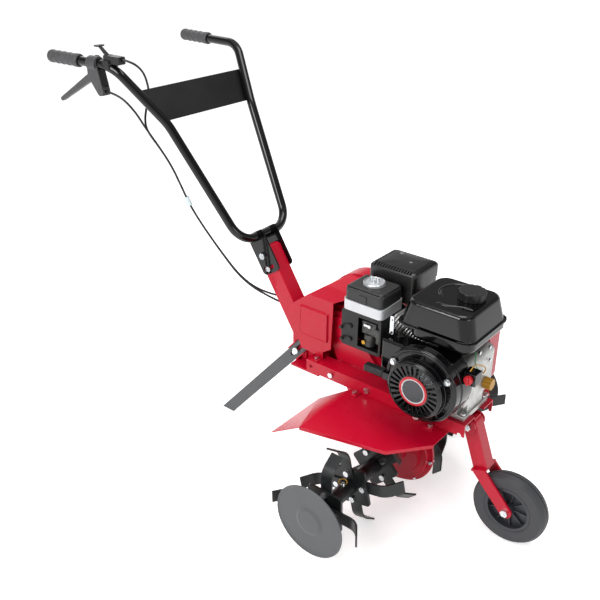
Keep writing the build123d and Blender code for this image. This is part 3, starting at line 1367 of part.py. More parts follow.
# Tines: four on each flange, turned in and out so that they work the full width
outward = tine.part
inward = tine.part.mirror(Plane.XZ)
with BuildPart() as tines:
    for flange_y, lean, bends in rotor_sets:
        for quarter, bend_out in enumerate(bends):
            blade = outward if bend_out else inward
            quarter_turn = Location((0, 0, 0), (0, lean + 90 * quarter, 0))
            turn = Location((rotor_x, -flange_y, rotor_z)) * quarter_turn
            add(blade.moved(turn))
    mirror(about=Plane.XZ)
keep(tines, "tines")

# Tine bolts, one through each tine and its flange, and the lock pins of the outer hubs
with BuildPart() as tine_bolts:
    for flange_y, lean, bends in rotor_sets:
        for quarter, bend_out in enumerate(bends):
            way = -1 if bend_out else 1
            angle = math.radians(lean + 90 * quarter)
            bolt_x = rotor_x - tine_bolt_u * math.sin(angle)
            bolt_h = rotor_z - tine_bolt_u * math.cos(angle)
            bolt_y(bolt_x, bolt_h, -flange_y + way * (tine_face + tine_t), -flange_y - way * flange_t / 2,
                   tine_bolt_r, nut=True)
    with Locations((rotor_x, -hub_pin_y, rotor_z)):
        Cylinder(hub_pin_r, 2 * hub_r + 4 * hub_pin_r)
    mirror(about=Plane.XZ)
keep(tine_bolts, "tine_bolts")

# Side discs: dished plates welded to the ends of the outer hubs
with BuildPart() as side_discs:
    disc_y = outer_hub_end + seat_fit
    with BuildSketch(facing(rotor_x)):
        with BuildLine():
            Polyline((-disc_y - disc_dish, rotor_z),
                     (-disc_y - disc_dish, rotor_z + disc_boss_r - disc_dish),
                     (-disc_y - disc_t / 2, rotor_z + disc_boss_r + disc_dish),
                     (-disc_y - disc_t / 2, rotor_z + disc_r - disc_dish),
                     (-disc_y - disc_t / 2 - disc_dish / 2, rotor_z + disc_r - disc_t / 2))
        trace(line_width=disc_t)
    revolve(axis=Axis((rotor_x, 0, rotor_z), (0, 1, 0)))
    rod_y(rotor_x, rotor_z, -disc_y, -disc_y - disc_dish, hub_r)
    mirror(about=Plane.XZ)
keep(side_discs, "side_discs")

# Wheel fork: box column on the front pivot, crown plate and two arm plates down to the axle
fork_knee_x = fork_pivot_x + fork_drop * math.tan(math.radians(fork_lean))
fork_knee_z = fork_pivot_z - fork_drop
arm_in = tyre_w / 2 + tyre_clear
fork_up = Vector(-math.sin(math.radians(fork_lean)), 0, math.cos(math.radians(fork_lean)))
with BuildPart() as wheel_fork:
    column_plane = Plane(origin=(fork_knee_x, 0, fork_knee_z), x_dir=(0, 1, 0), z_dir=fork_up)
    column_len = fork_drop / fork_up.Z + ear_r - easy_fit
    with BuildSketch(column_plane):
        RectangleRounded(2 * ear_r, 2 * ear_r, mast_t)
    extrude(amount=column_len)
    with BuildSketch(column_plane):
        Rectangle(2 * ear_r - 2 * mast_t, 2 * ear_r - 2 * mast_t)
    extrude(amount=column_len - mast_t, mode=Mode.SUBTRACT)
    top_edges = wheel_fork.faces().sort_by(Axis((fork_pivot_x, 0, fork_pivot_z),
                                                tuple(fork_up)))[-1].edges()
    fillet(top_edges.filter_by(Axis.Y), ear_r - mast_t)
    with BuildSketch(column_plane):
        Rectangle(2 * (arm_in + plate_t), 2 * ear_r)
    extrude(amount=-plate_t)
    for hand in (-1, 1):
        extrude(drive_hull(side(hand * arm_in), fork_knee_x, fork_knee_z, fork_arm_w / 2, wheel_x, wheel_r,
                           fork_arm_w / 2),
                amount=-hand * plate_t)
    with BuildSketch(column_plane):
        with GridLocations(2 * arm_in + plate_t, fork_arm_w, 2, 1):
            Rectangle(plate_t, 2 * fork_arm_w)
    extrude(amount=fork_arm_w, mode=Mode.SUBTRACT)
    rod_y(fork_pivot_x, fork_pivot_z, -arm_in, arm_in, pivot_bolt_r + run_fit, mode=Mode.SUBTRACT)
    rod_y(wheel_x, wheel_r, -2 * arm_in, 2 * arm_in, wheel_axle_r + bolt_fit, mode=Mode.SUBTRACT)
keep(wheel_fork, "wheel_fork")

# Tyre with tread grooves, rim with thin spokes, and the axle bolt
with BuildPart() as wheel_tyre:
    with BuildSketch(facing(wheel_x)):
        with BuildLine():
            Polyline((-rim_w / 2, wheel_r + rim_r), (rim_w / 2, wheel_r + rim_r),
                     (tyre_w / 2, wheel_r + tyre_side_r),
                     (tyre_w / 2, wheel_r + wheel_r - tyre_shoulder))
            ThreePointArc((tyre_w / 2, 2 * wheel_r - tyre_shoulder), (0, 2 * wheel_r),
                          (-tyre_w / 2, 2 * wheel_r - tyre_shoulder))
            Polyline((-tyre_w / 2, 2 * wheel_r - tyre_shoulder), (-tyre_w / 2, wheel_r + tyre_side_r),
                     (-rim_w / 2, wheel_r + rim_r))
        make_face()
    revolve(axis=Axis((wheel_x, 0, wheel_r), (0, 1, 0)))
    for groove_y in tread_lines:
        with BuildSketch(facing(wheel_x)):
            with Locations((groove_y, 2 * wheel_r)):
                Rectangle(tread_groove, 2 * tread_groove)
        revolve(axis=Axis((wheel_x, 0, wheel_r), (0, 1, 0)), mode=Mode.SUBTRACT)
keep(wheel_tyre, "wheel_tyre")
with BuildPart() as wheel_rim:
    rim_out = rim_r - seat_fit
    rod_y(wheel_x, wheel_r, -rim_w / 2, rim_w / 2, rim_out)
    rod_y(wheel_x, wheel_r, -rim_w / 2, rim_w / 2, rim_out - 2 * rim_web_t, mode=Mode.SUBTRACT)
    rod_y(wheel_x, wheel_r, -rim_web_t / 2, rim_web_t / 2, rim_out - rim_web_t)
    with BuildSketch(side(rim_w / 4)):
        with Locations((wheel_x, wheel_r)):
            with PolarLocations((rim_out + wheel_hub_r) / 2, spoke_count):
                Rectangle(rim_out - wheel_hub_r - rim_web_t, spoke_t)
    extrude(amount=rim_w / 2)
    rod_y(wheel_x, wheel_r, -wheel_hub_w / 2, wheel_hub_w / 2, wheel_hub_r)
    rod_y(wheel_x, wheel_r, -wheel_hub_w, wheel_hub_w, wheel_axle_r + run_fit, mode=Mode.SUBTRACT)
keep(wheel_rim, "wheel_rim")
with BuildPart() as wheel_axle:
    bolt_y(wheel_x, wheel_r, -arm_in - plate_t, arm_in + plate_t, wheel_axle_r, nut=True)
keep(wheel_axle, "wheel_axle")

# Handlebar: one bent tube whose lower loop is welded to the clevis plates on the mast
u_corner = pivot + mast_up * tube_s + mast_fore * tube_n
tip_x = grip_x + grip_end
tip_z = grip_z
half_bar = [(tip_x, -grip_y, tip_z), (top_x, -top_y, top_z), (knee_x, -knee_y, knee_z),
            (u_corner.X, -u_half, u_corner.Z)]
bar_points = half_bar + [(x, -y, z) for x, y, z in reversed(half_bar)]
bar_bends = [top_bend, knee_bend, u_bend, u_bend, knee_bend, top_bend]
clevis_plane = Plane(origin=pivot, x_dir=mast_fore, z_dir=(0, -1, 0))
clevis_in = mast_w / 2 + clevis_gap
with BuildPart() as tube_space:
    with BuildLine() as bar_line:
        FilletPolyline(*bar_points, radius=bar_bends)
    bar_start = Plane(origin=bar_line.line @ 0, z_dir=bar_line.line % 0)
    with BuildSketch(bar_start):
        Circle(tube_r + seat_fit)
    sweep(path=bar_line.line)
with BuildPart() as handlebar:
    with BuildSketch(bar_start):
        Circle(tube_r)
    sweep(path=bar_line.line)
    for hand in (-1, 1):
        with BuildSketch(clevis_plane.offset(-hand * clevis_in)):
            with Locations(((clevis_front - clevis_rear) / 2, (clevis_high - clevis_low) / 2)):
                RectangleRounded(clevis_front + clevis_rear, clevis_high + clevis_low, clevis_round)
        extrude(amount=-hand * clevis_t)
        with BuildSketch(clevis_plane.offset(-hand * clevis_in)):
            with BuildLine() as slot_line:
                CenterArc((0, 0), slot_r, -90 - slot_swing, 2 * slot_swing)
            SlotArc(arc=slot_line.edges()[0], height=2 * slot_half)
        extrude(amount=-hand * clevis_t, mode=Mode.SUBTRACT)
    with BuildSketch(clevis_plane.offset(-clevis_in)):
        with Locations((clevis_front / 3, clevis_web_s + clevis_t / 2)):
            Rectangle(clevis_front, clevis_t)
    extrude(amount=2 * clevis_in)
    with BuildSketch(bar_start):
        Circle(tube_r - tube_t)
    sweep(path=bar_line.line, mode=Mode.SUBTRACT)
    rod_y(pivot_x, pivot_z, -mast_w, mast_w, pivot_bolt_r + run_fit, mode=Mode.SUBTRACT)
keep(handlebar, "handlebar")

# Cross panel between the handles, on the operator's side of the tubes
panel_run = Vector(knee_x - top_x, 0, knee_z - top_z).normalized()
panel_back = panel_run.cross(Vector(0, 1, 0)).normalized()
if panel_back.X > 0:
    panel_back = -panel_back
panel_ends = []
for panel_z in (panel_high_z, panel_low_z):
    share = (top_z - panel_z) / (top_z - knee_z)
    panel_ends.append((top_x + share * (knee_x - top_x), top_y + share * (knee_y - top_y)))
panel_len = (panel_high_z - panel_low_z) / -panel_run.Z
with BuildPart() as handle_panel:
    panel_plane = Plane(origin=Vector(panel_ends[0][0], 0, panel_high_z) + panel_back * (tube_r + seat_fit),
                        x_dir=(0, 1, 0), z_dir=panel_back)
    with BuildSketch(panel_plane):
        Polygon((-panel_ends[0][1], 0), (panel_ends[0][1], 0), (panel_ends[1][1], panel_len),
                (-panel_ends[1][1], panel_len), align=None)
    extrude(amount=panel_t)
keep(handle_panel, "handle_panel")

# Grips: ribbed sleeves closed over the tube ends
grip_way = Vector(top_x - tip_x, grip_y - top_y, top_z - grip_z).normalized()
with BuildPart() as grips:
    grip_start = Vector(tip_x, -grip_y, tip_z) - grip_way * grip_end
    with BuildSketch(Plane(origin=grip_start, z_dir=grip_way)):
        Circle(grip_r)
    extrude(amount=grip_len + grip_end)
    fillet(grips.edges().sort_by(Axis.X)[0], grip_end)
    for collar_at in (grip_end, grip_len - grip_end):
        with BuildSketch(Plane(origin=grip_start + grip_way * collar_at, z_dir=grip_way)):
            Circle(grip_r + grip_collar)
        extrude(amount=2 * grip_end)
    with BuildSketch(Plane(origin=Vector(tip_x, -grip_y, tip_z), z_dir=grip_way)):
        Circle(tube_r + seat_fit)
    extrude(amount=grip_len + grip_end, mode=Mode.SUBTRACT)
    mirror(about=Plane.XZ)
keep(grips, "grips")

# Clutch bracket: clamp round the right handle with two cheeks for the lever
clamp_share = (clamp_x - tip_x) / (top_x - tip_x)
handle_y = -grip_y + clamp_share * (grip_y - top_y)
handle_z = tip_z + clamp_share * (top_z - tip_z)
lever_x = clamp_x - lever_set_back
lever_z = handle_z - lever_pivot_drop
cheek_in_y = lever_t / 2 + 2 * easy_fit
with BuildPart() as clutch_bracket:
    with BuildSketch(Plane(origin=Vector(clamp_x, handle_y, handle_z) - grip_way * clamp_len / 2,
                           z_dir=grip_way)):
        Circle(clamp_r)
    extrude(amount=clamp_len)
    for way in (-1, 1):
        extrude(round_hull(side(handle_y + way * cheek_in_y), (lever_x, lever_z, hook_r),
                           (clamp_x, handle_z, housing_top_r),
                           (clutch_route[0][0], clutch_route[0][2], housing_low_r)),
                amount=-way * bracket_cheek)
    block(clutch_route[0][0] + hook_r - 2 * rail_t, clutch_route[0][0] + hook_r,
          handle_y - cheek_in_y - bracket_cheek,
          handle_y + cheek_in_y + bracket_cheek, clutch_route[0][2] - hook_r, clutch_route[0][2] + hook_r)
    with Locations((clutch_route[0][0] + hook_r, clutch_route[0][1], clutch_route[0][2])):
        Cylinder(cable_r + 4 * easy_fit, 8 * rail_t, rotation=(0, 90, 0), mode=Mode.SUBTRACT)
    add(tube_space.part, mode=Mode.SUBTRACT)
    rod_y(lever_x, lever_z, handle_y - cheek_in_y - bracket_cheek, handle_y + cheek_in_y + bracket_cheek,
          lever_pivot_r)
keep(clutch_bracket, "clutch_bracket")

# Clutch lever: blade under the grip that swings up when it is squeezed
blade_end_x = lever_x - lever_reach * math.cos(math.radians(lever_fall))
blade_end_z = lever_z - lever_reach * math.sin(math.radians(lever_fall))
with BuildPart() as clutch_lever:
    extrude(drive_hull(side(handle_y + lever_t / 2), lever_x, lever_z, lever_root_r, blade_end_x,
                       blade_end_z, lever_tip_r),
            amount=lever_t)
    fillet(clutch_lever.edges().filter_by(GeomType.CIRCLE), lever_round)
    extrude(drive_hull(side(handle_y + lever_t / 4), lever_x, lever_z, lever_root_r, lever_x + lever_horn,
                       lever_z - lever_root_r,
                       lever_tip_r), amount=lever_t / 2)
    rod_y(lever_x, lever_z, handle_y - lever_t, handle_y + lever_t, lever_pivot_r + run_fit,
          mode=Mode.SUBTRACT)
keep(clutch_lever, "clutch_lever")

# Throttle: body clamped on the bend of the right handle and its lever
throttle_y = throttle_route[0][1]
throttle_z = throttle_route[0][2]
throttle_x0 = throttle_end_x - throttle_len
with BuildPart() as throttle_body:
    block(throttle_x0, throttle_end_x, throttle_y - throttle_w / 2, throttle_y + throttle_w / 2,
          throttle_z - throttle_h, throttle_z + throttle_h / 3)
    fillet(throttle_body.edges().filter_by(Axis.Y), throttle_h / 4)
    block(throttle_x - throttle_clamp / 2, throttle_x + throttle_clamp / 2, throttle_y - saddle_w / 2,
          throttle_y + saddle_w / 2, top_z - tube_r / 2, throttle_z - throttle_h / 2)
    block(throttle_x0 - throttle_h, throttle_x + throttle_lever_w,
          throttle_y - throttle_lever_t / 2 - easy_fit,
          throttle_y + throttle_lever_t / 2 + easy_fit,
          throttle_z - throttle_drop - throttle_lever_w / 2 - 2 * easy_fit, throttle_z + throttle_h,
          mode=Mode.SUBTRACT)
    add(tube_space.part, mode=Mode.SUBTRACT)
    rod_y(throttle_x, throttle_z - throttle_drop, throttle_y - throttle_w / 2, throttle_y + throttle_w / 2,
          lever_pivot_r)
    with Locations((throttle_end_x, throttle_y, throttle_z)):
        Cylinder(cable_r + 5 * easy_fit, throttle_len / 2, rotation=(0, 90, 0), mode=Mode.SUBTRACT)
keep(throttle_body, "throttle_body")
with BuildPart() as throttle_lever:
    arm_x = throttle_x - throttle_lever_len * math.cos(math.radians(throttle_lean))
    arm_z = throttle_z - throttle_drop + throttle_lever_len * math.sin(math.radians(throttle_lean))
    extrude(drive_hull(side(throttle_y + throttle_lever_t / 2), throttle_x, throttle_z - throttle_drop,
                       throttle_lever_w / 2,
                       arm_x, arm_z, throttle_lever_w / 3), amount=throttle_lever_t)
    block(arm_x - throttle_pad, arm_x + throttle_lever_w / 3, throttle_y - throttle_lever_w,
          throttle_y + throttle_lever_w,
          arm_z, arm_z + throttle_lever_w / 3)
    rod_y(throttle_x, throttle_z - throttle_drop, throttle_y - throttle_w, throttle_y + throttle_w,
          lever_pivot_r + run_fit,
          mode=Mode.SUBTRACT)
keep(throttle_lever, "throttle_lever")

# Cables: each one swept along straight runs and the bends between them
for name, route in (("clutch_cable", clutch_route), ("throttle_cable", throttle_route)):
    radii = cord_radii(route)
    with BuildPart() as cable:
        with BuildLine() as run:
            FilletPolyline(*route, radius=radii)
        with BuildSketch(Plane(origin=run.line @ 0, z_dir=run.line % 0)):
            Circle(cable_r)
        sweep(path=run.line)
    keep(cable, name)
    print(f"{name}: {run.wires()[0].length:.0f} mm, bend radii {[round(r) for r in radii]}")

# Drag bar: flat bar with a slot for the hitch pin, its foot cut square to the ground
with BuildPart() as drag_bar:
    bar_len = hitch_z / -bar_down.Z + bar_w
    with BuildSketch(bar_plane.offset(-bar_over)):
        Rectangle(bar_t, bar_w)
    extrude(amount=bar_over + bar_len)
    block(hitch_x - 2 * bar_len, hitch_x + 2 * bar_len, bar_y - bar_w, bar_y + bar_w, -2 * bar_len, 0,
          mode=Mode.SUBTRACT)
    with BuildSketch(Plane(origin=(hitch_x, bar_y + bar_t, hitch_z), x_dir=bar_down, z_dir=(0, -1, 0))):
        SlotOverall(bar_slot, 2 * (hitch_pin_r + easy_fit))
    extrude(amount=2 * bar_t, mode=Mode.SUBTRACT)
keep(drag_bar, "drag_bar")

# Hitch pin with its ring
with BuildPart() as hitch_pin:
    pin_out = bar_y - bar_t / 2 - easy_fit
    rod_y(hitch_x, hitch_z, pin_out, -mast_w / 2 - cheek_gap, hitch_pin_r)
    rod_y(hitch_x, hitch_z, pin_out, pin_out - pin_over, hitch_pin_r + sleeve_t)
keep(hitch_pin, "hitch_pin")

# Frame bolts: mast, rails, engine feet, fork pivot, fenders and the rim of the chain case
with BuildPart() as frame_bolts:
    clevis_out = clevis_in + clevis_t + easy_fit
    bolt_y(pivot_x, pivot_z, -clevis_out, clevis_out, pivot_bolt_r, nut=True)
    bolt_y(slot_bolt.X, slot_bolt.Z, -clevis_out, clevis_out, frame_bolt_r, nut=True)
    cheek_out = cheek_in + plate_t
    for bolt_x, bolt_h in (mast_low_bolt, mast_high_bolt):
        bolt_y(bolt_x, bolt_h, -cheek_out, cheek_out, frame_bolt_r, nut=True)
    for hand in (-1, 1):
        for lug_x in case_lug_x:
            bolt_y(lug_x, case_lug_z, hand * rail_y, hand * (rail_y - 3 * rail_t), frame_bolt_r - seat_fit)
        for tab_x in fender_tab_x:
            bolt_z(tab_x, hand * fender_tab_y, rail_bottom + rail_t, fender_top - 3 * fender_t,
                   mount_bolt_r)
    for hand_x in (-1, 1):
        for hand_y in (-1, 1):
            bolt_z(crank_x + hand_x * mount_x, hand_y * mount_y, rail_top + foot_h,
                   rail_bottom + rail_h / 2, mount_bolt_r)
    bolt_y(fork_pivot_x, fork_pivot_z, -ear_in - plate_t, ear_in + plate_t, pivot_bolt_r, nut=True)
    bolt_z(guard_bolt_x, guard_bolt_y, rail_top + guard_t, rail_top - 3 * rail_t, mount_bolt_r)
    for spot in case_bolt_spots:
        bolt_y(spot.X, spot.Z, -case_rim_t, case_rim_t, case_bolt_r, nut=True)
keep(frame_bolts, "frame_bolts")
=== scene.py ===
import json
import math

import bpy
from mathutils import Matrix, Vector
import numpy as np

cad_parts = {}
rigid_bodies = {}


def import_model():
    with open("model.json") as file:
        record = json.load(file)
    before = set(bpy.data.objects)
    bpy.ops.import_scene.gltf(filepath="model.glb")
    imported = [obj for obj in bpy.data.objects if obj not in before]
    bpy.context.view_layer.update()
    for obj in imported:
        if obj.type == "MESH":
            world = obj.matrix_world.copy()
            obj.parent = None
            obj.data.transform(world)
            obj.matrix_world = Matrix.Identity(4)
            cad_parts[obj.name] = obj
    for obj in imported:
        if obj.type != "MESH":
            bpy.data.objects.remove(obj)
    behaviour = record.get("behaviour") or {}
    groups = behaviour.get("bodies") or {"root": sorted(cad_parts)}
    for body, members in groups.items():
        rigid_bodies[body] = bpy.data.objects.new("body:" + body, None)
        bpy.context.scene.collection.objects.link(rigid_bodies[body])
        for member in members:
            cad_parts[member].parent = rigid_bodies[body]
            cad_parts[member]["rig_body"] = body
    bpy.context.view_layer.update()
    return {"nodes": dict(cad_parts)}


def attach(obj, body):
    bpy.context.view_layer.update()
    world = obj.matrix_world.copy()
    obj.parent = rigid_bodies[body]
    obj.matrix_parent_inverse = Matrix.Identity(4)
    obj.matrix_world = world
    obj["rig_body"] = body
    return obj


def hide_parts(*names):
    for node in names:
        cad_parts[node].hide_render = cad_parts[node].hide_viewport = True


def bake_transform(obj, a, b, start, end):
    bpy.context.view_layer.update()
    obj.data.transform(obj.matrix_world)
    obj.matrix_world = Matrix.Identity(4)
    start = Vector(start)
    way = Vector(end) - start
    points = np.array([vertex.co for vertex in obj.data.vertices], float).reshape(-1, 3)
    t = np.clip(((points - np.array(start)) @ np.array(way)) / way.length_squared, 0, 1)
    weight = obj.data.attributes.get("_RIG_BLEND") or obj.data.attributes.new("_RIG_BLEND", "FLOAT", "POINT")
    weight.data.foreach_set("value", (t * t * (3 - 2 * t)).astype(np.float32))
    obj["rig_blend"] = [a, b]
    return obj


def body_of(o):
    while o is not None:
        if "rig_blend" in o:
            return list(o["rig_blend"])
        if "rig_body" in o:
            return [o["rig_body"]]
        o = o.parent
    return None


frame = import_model()


# Main frame: angle rails, hitch plate, cheeks and front ears, sheared from mild steel.
# They are welded into one piece and sprayed in red gloss enamel, which rounds over the cut edges.
def linear(code):
    """A colour written as sRGB hex, in linear light for a shader."""
    parts = [int(code[i:i + 2], 16) / 255 for i in (0, 2, 4)]
    return [p / 12.92 if p <= 0.04045 else ((p + 0.055) / 1.055) ** 2.4 for p in parts] + [1.0]


def add(tree, kind, inputs, **settings):
    """One node with its settings; an input is a value, or another node's socket to link."""
    made = tree.nodes.new("ShaderNode" + kind)
    for name, value in settings.items():
        setattr(made, name, value)
    for name, value in inputs.items():
        if isinstance(value, bpy.types.NodeSocket):
            tree.links.new(value, made.inputs[name])
        else:
            made.inputs[name].default_value = value
    return made


def finish(name, codes, gloss, drift_mm, grain_mm, depth_mm, metallic=0.0, specular=0.5):
    """A surface that drifts between two colours and two degrees of gloss, with a grain of a real size."""
    made = bpy.data.materials.new(name)
    made.use_nodes = True
    tree = made.node_tree
    shader = tree.nodes["Principled BSDF"]
    place = add(tree, "TexCoord", {}).outputs["Object"]
    drift = add(tree, "TexNoise", {"Vector": place, "Scale": 1000 / drift_mm, "Detail": 4.0}).outputs["Fac"]
    share = add(tree, "MapRange", {"Value": drift, "From Min": 0.3, "From Max": 0.7}).outputs["Result"]
    colour = add(tree, "MixRGB", {"Fac": share, "Color1": linear(codes[0]), "Color2": linear(codes[1])})
    shine = add(tree, "MapRange", {"Value": share, "To Min": gloss[0], "To Max": gloss[1]})
    grain = add(tree, "TexNoise", {"Vector": place, "Scale": 1000 / grain_mm, "Detail": 2.0})
    relief = add(tree, "Bump", {"Height": grain.outputs["Fac"], "Distance": depth_mm / 1000})
    tree.links.new(colour.outputs["Color"], shader.inputs["Base Color"])
    tree.links.new(shine.outputs["Result"], shader.inputs["Roughness"])
    tree.links.new(relief.outputs["Normal"], shader.inputs["Normal"])
    shader.inputs["Metallic"].default_value = metallic
    shader.inputs["Specular IOR Level"].default_value = specular
    return made


def take(made):
    """Makes one object the only selected and active one."""
    bpy.ops.object.select_all(action="DESELECT")
    made.select_set(True)
    bpy.context.view_layer.objects.active = made


def settle(made, material, body):
    """Gives a finished piece its material and its body."""
    made.data.materials.clear()
    made.data.materials.append(material)
    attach(made, body)


def soften(made, width):
    """Rounds the sharp edges of a piece over and keeps its flat faces flat."""
    sharp = math.radians(40)
    take(made)
    edge = made.modifiers.new("edge", "BEVEL")
    edge.width = width
    edge.segments = 2
    edge.limit_method = "ANGLE"
    edge.angle_limit = sharp
    edge.use_clamp_overlap = False
    bpy.ops.object.modifier_apply(modifier="edge")
    bpy.ops.object.shade_smooth_by_angle(angle=sharp)
    flat = made.modifiers.new("flat", "WEIGHTED_NORMAL")
    flat.keep_sharp = True
    bpy.ops.object.modifier_apply(modifier="flat")


def eased(material, *names, edge_mm):
    """Copies of CAD pieces with their sharp edges rounded over, which stand in for them."""
    same_point, same_plane = 0.00001, math.radians(0.05)
    for name in names:
        source = frame["nodes"][name]
        made = bpy.data.objects.new(name + "_eased", source.data.copy())
        bpy.context.scene.collection.objects.link(made)
        take(made)
        bpy.ops.object.mode_set(mode="EDIT")
        bpy.ops.mesh.select_all(action="SELECT")
        bpy.ops.mesh.remove_doubles(threshold=same_point)
        bpy.ops.mesh.dissolve_limited(angle_limit=same_plane)
        bpy.ops.mesh.normals_make_consistent(inside=False)
        bpy.ops.mesh.customdata_custom_splitnormals_clear()
        bpy.ops.object.mode_set(mode="OBJECT")
        soften(made, edge_mm / 1000)
        settle(made, material, source["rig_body"])
        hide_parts(name)


# Sprayed gloss enamel: an even red with soft highlights and a faint orange peel about 3 mm wide.
red_enamel = finish("red_enamel", ("B40626", "BC082A"), gloss=(0.24, 0.3), drift_mm=320, grain_mm=3.0,
                    depth_mm=0.01, specular=0.35)
eased(red_enamel, "main_frame", edge_mm=0.8)

# Mast: rectangular steel tube that carries the handle, mitred and capped.
# It is bolted between the hitch cheeks and sprayed with the frame.
eased(red_enamel, "mast", edge_mm=1.2)

# Fenders: sheet steel over the tines, folded with a rear flap and a turned lip.
# They are bolted under the rails and sprayed in the same enamel.
eased(red_enamel, "right_fender", "left_fender", edge_mm=0.7)

# Chain case: two pressed steel halves with welded bearing bosses.
# They are bolted together round the rim and sprayed in the same enamel.
eased(red_enamel, "right_case", "left_case", edge_mm=1.0)


# Chain drive inside the case: ground steel shafts and bearings, an oiled roller chain and a cast sprocket.
# The rotor's axle and the engine's crankshaft are ground from the same steel.
def dress(material, *names):
    """Gives CAD pieces their finish."""
    for name in names:
        for holder in frame["nodes"][name].material_slots:
            holder.material = material


# Ground steel: bright and even, with a fine grain drawn coarser than life so that it shows.
ground_steel = finish("ground_steel", ("B4B7BA", "9A9DA0"), gloss=(0.2, 0.32), drift_mm=20, grain_mm=0.8,
                      depth_mm=0.01, metallic=1.0)
dress(ground_steel, "bearings", "input_shaft", "chain", "rotor_axle", "crankshaft")
# Sand-cast iron: dark and dull, with the grain of the mould.
cast_iron = finish("cast_iron", ("4A4A4B", "3A3A3B"), gloss=(0.5, 0.65), drift_mm=20, grain_mm=1.2,
                   depth_mm=0.08, metallic=0.8)
dress(cast_iron, "large_sprocket")

# Belt drive behind the cover: cast iron pulleys and two moulded rubber belts.
# A plated steel arm with a moulded pulley tightens the belts when the clutch lever is squeezed.
dress(cast_iron, "driven_pulley", "engine_pulley")
# Moulded rubber: nearly black and matt.
belt_rubber = finish("belt_rubber", ("1E1E1E", "262626"), gloss=(0.7, 0.85), drift_mm=12, grain_mm=1.0,
                     depth_mm=0.05)
dress(belt_rubber, "drive_belts")
# Zinc plate: silvery, with a slightly cloudy gloss.
zinc_plate = finish("zinc_plate", ("DADDDF", "BFC3C6"), gloss=(0.2, 0.34), drift_mm=9, grain_mm=0.7,
                    depth_mm=0.015, metallic=1.0)
dress(zinc_plate, "idler_arm")
# Moulded ABS: satin black, with the mould's fine texture drawn coarser than life so that it shows.
black_abs = finish("black_abs", ("161617", "1C1C1D"), gloss=(0.36, 0.46), drift_mm=60, grain_mm=1.0,
                   depth_mm=0.03, specular=0.35)
dress(black_abs, "idler_pulley")

# Belt guard and cover: deep-drawn steel, spot-welded to the back plate of the belt drive and sprayed red.
# The guard has a raised panel on its side with a rolled bead along the edge, and the outer cover a round lip
# and a raised face.
eased(red_enamel, "belt_guard", "belt_cover", edge_mm=0.9)


def strand(name, points, radius):
    """A round strand along given points, and the points of its centre line."""
    line = bpy.data.curves.new(name + "_line", "CURVE")
    line.dimensions = "3D"
    line.resolution_u = 12
    spline = line.splines.new("NURBS")
    spline.points.add(len(points) - 1)
    for knot, point in zip(spline.points, points):
        knot.co = (*point, 1.0)
    spline.order_u = 3
    spline.use_endpoint_u = True
    holder = bpy.data.objects.new(name + "_line", line)
    bpy.context.scene.collection.objects.link(holder)
    bpy.context.view_layer.update()
    centre = [tuple(v.co) for v in bpy.data.meshes.new_from_object(holder).vertices]
    line.bevel_depth = radius
    line.bevel_resolution = 3
    line.use_fill_caps = True
    bpy.context.view_layer.update()
    tube = bpy.data.objects.new(name, bpy.data.meshes.new_from_object(holder))
    bpy.data.objects.remove(holder)
    bpy.context.scene.collection.objects.link(tube)
    take(tube)
    bpy.ops.object.shade_smooth_by_angle(angle=math.radians(50))
    return tube, centre


panel_y, panel_mid, panel_round, panel_bead_r = -0.0527, 0.033, 0.010, 0.0016
rear, front, foot, head = -0.0137, 0.0797, 0.4013, 0.4847
panel_loop = (
    (panel_mid, foot), (front - panel_round, foot), (front, foot), (front, foot + panel_round),
    (front, head - panel_round), (front, head), (front - panel_round, head), (rear + panel_round, head),
    (rear, head), (rear, head - panel_round), (rear, foot + panel_round), (rear, foot),
    (rear + panel_round, foot), (panel_mid, foot),
)
panel_bead = strand("panel_bead", [(x, panel_y, z) for x, z in panel_loop], panel_bead_r)[0]
settle(panel_bead, red_enamel, "frame")

# Engine: die-cast aluminium crankcase with the barrel's fins and the head, shot-blasted and left bare.
# The rocker cover is pressed and enamelled, and the plug's insulator is glazed.
# Blasted aluminium: pale grey and soft in gloss, with its grit drawn coarser than life so that it shows.
cast_alloy = finish("cast_alloy", ("C4C5C3", "ABACAA"), gloss=(0.4, 0.55), drift_mm=25, grain_mm=1.4,
                    depth_mm=0.08, metallic=0.8)
eased(cast_alloy, "engine_block", "cylinder_head", edge_mm=0.6)
# Stoved gloss enamel: deep black with sharp highlights, and hardly any orange peel.
black_enamel = finish("black_enamel", ("070708", "0A0A0C"), gloss=(0.07, 0.12), drift_mm=150, grain_mm=4.0,
                      depth_mm=0.006, specular=0.4)
eased(black_enamel, "rocker_cover", edge_mm=0.6)
# Glazed porcelain: off-white and glassy.
porcelain = finish("porcelain", ("E6E4DE", "DAD7CF"), gloss=(0.12, 0.2), drift_mm=20, grain_mm=2.0,
                   depth_mm=0.01)
dress(porcelain, "spark_plug")

# Fan housing and recoil cover: pressed steel in black gloss enamel, with rolled rings and short ribs on the
# step round the slotted middle, and a plain badge. Three plated bolts on raised lugs hold the cover on, and
# the moulded pull handle rests against its lip.
eased(black_enamel, "fan_housing", "recoil_cover", edge_mm=0.8)
eased(black_abs, "pull_handle", edge_mm=0.6)
crank_x, crank_z = 0.427, 0.446
recoil_y, step_y = -0.166, -0.138


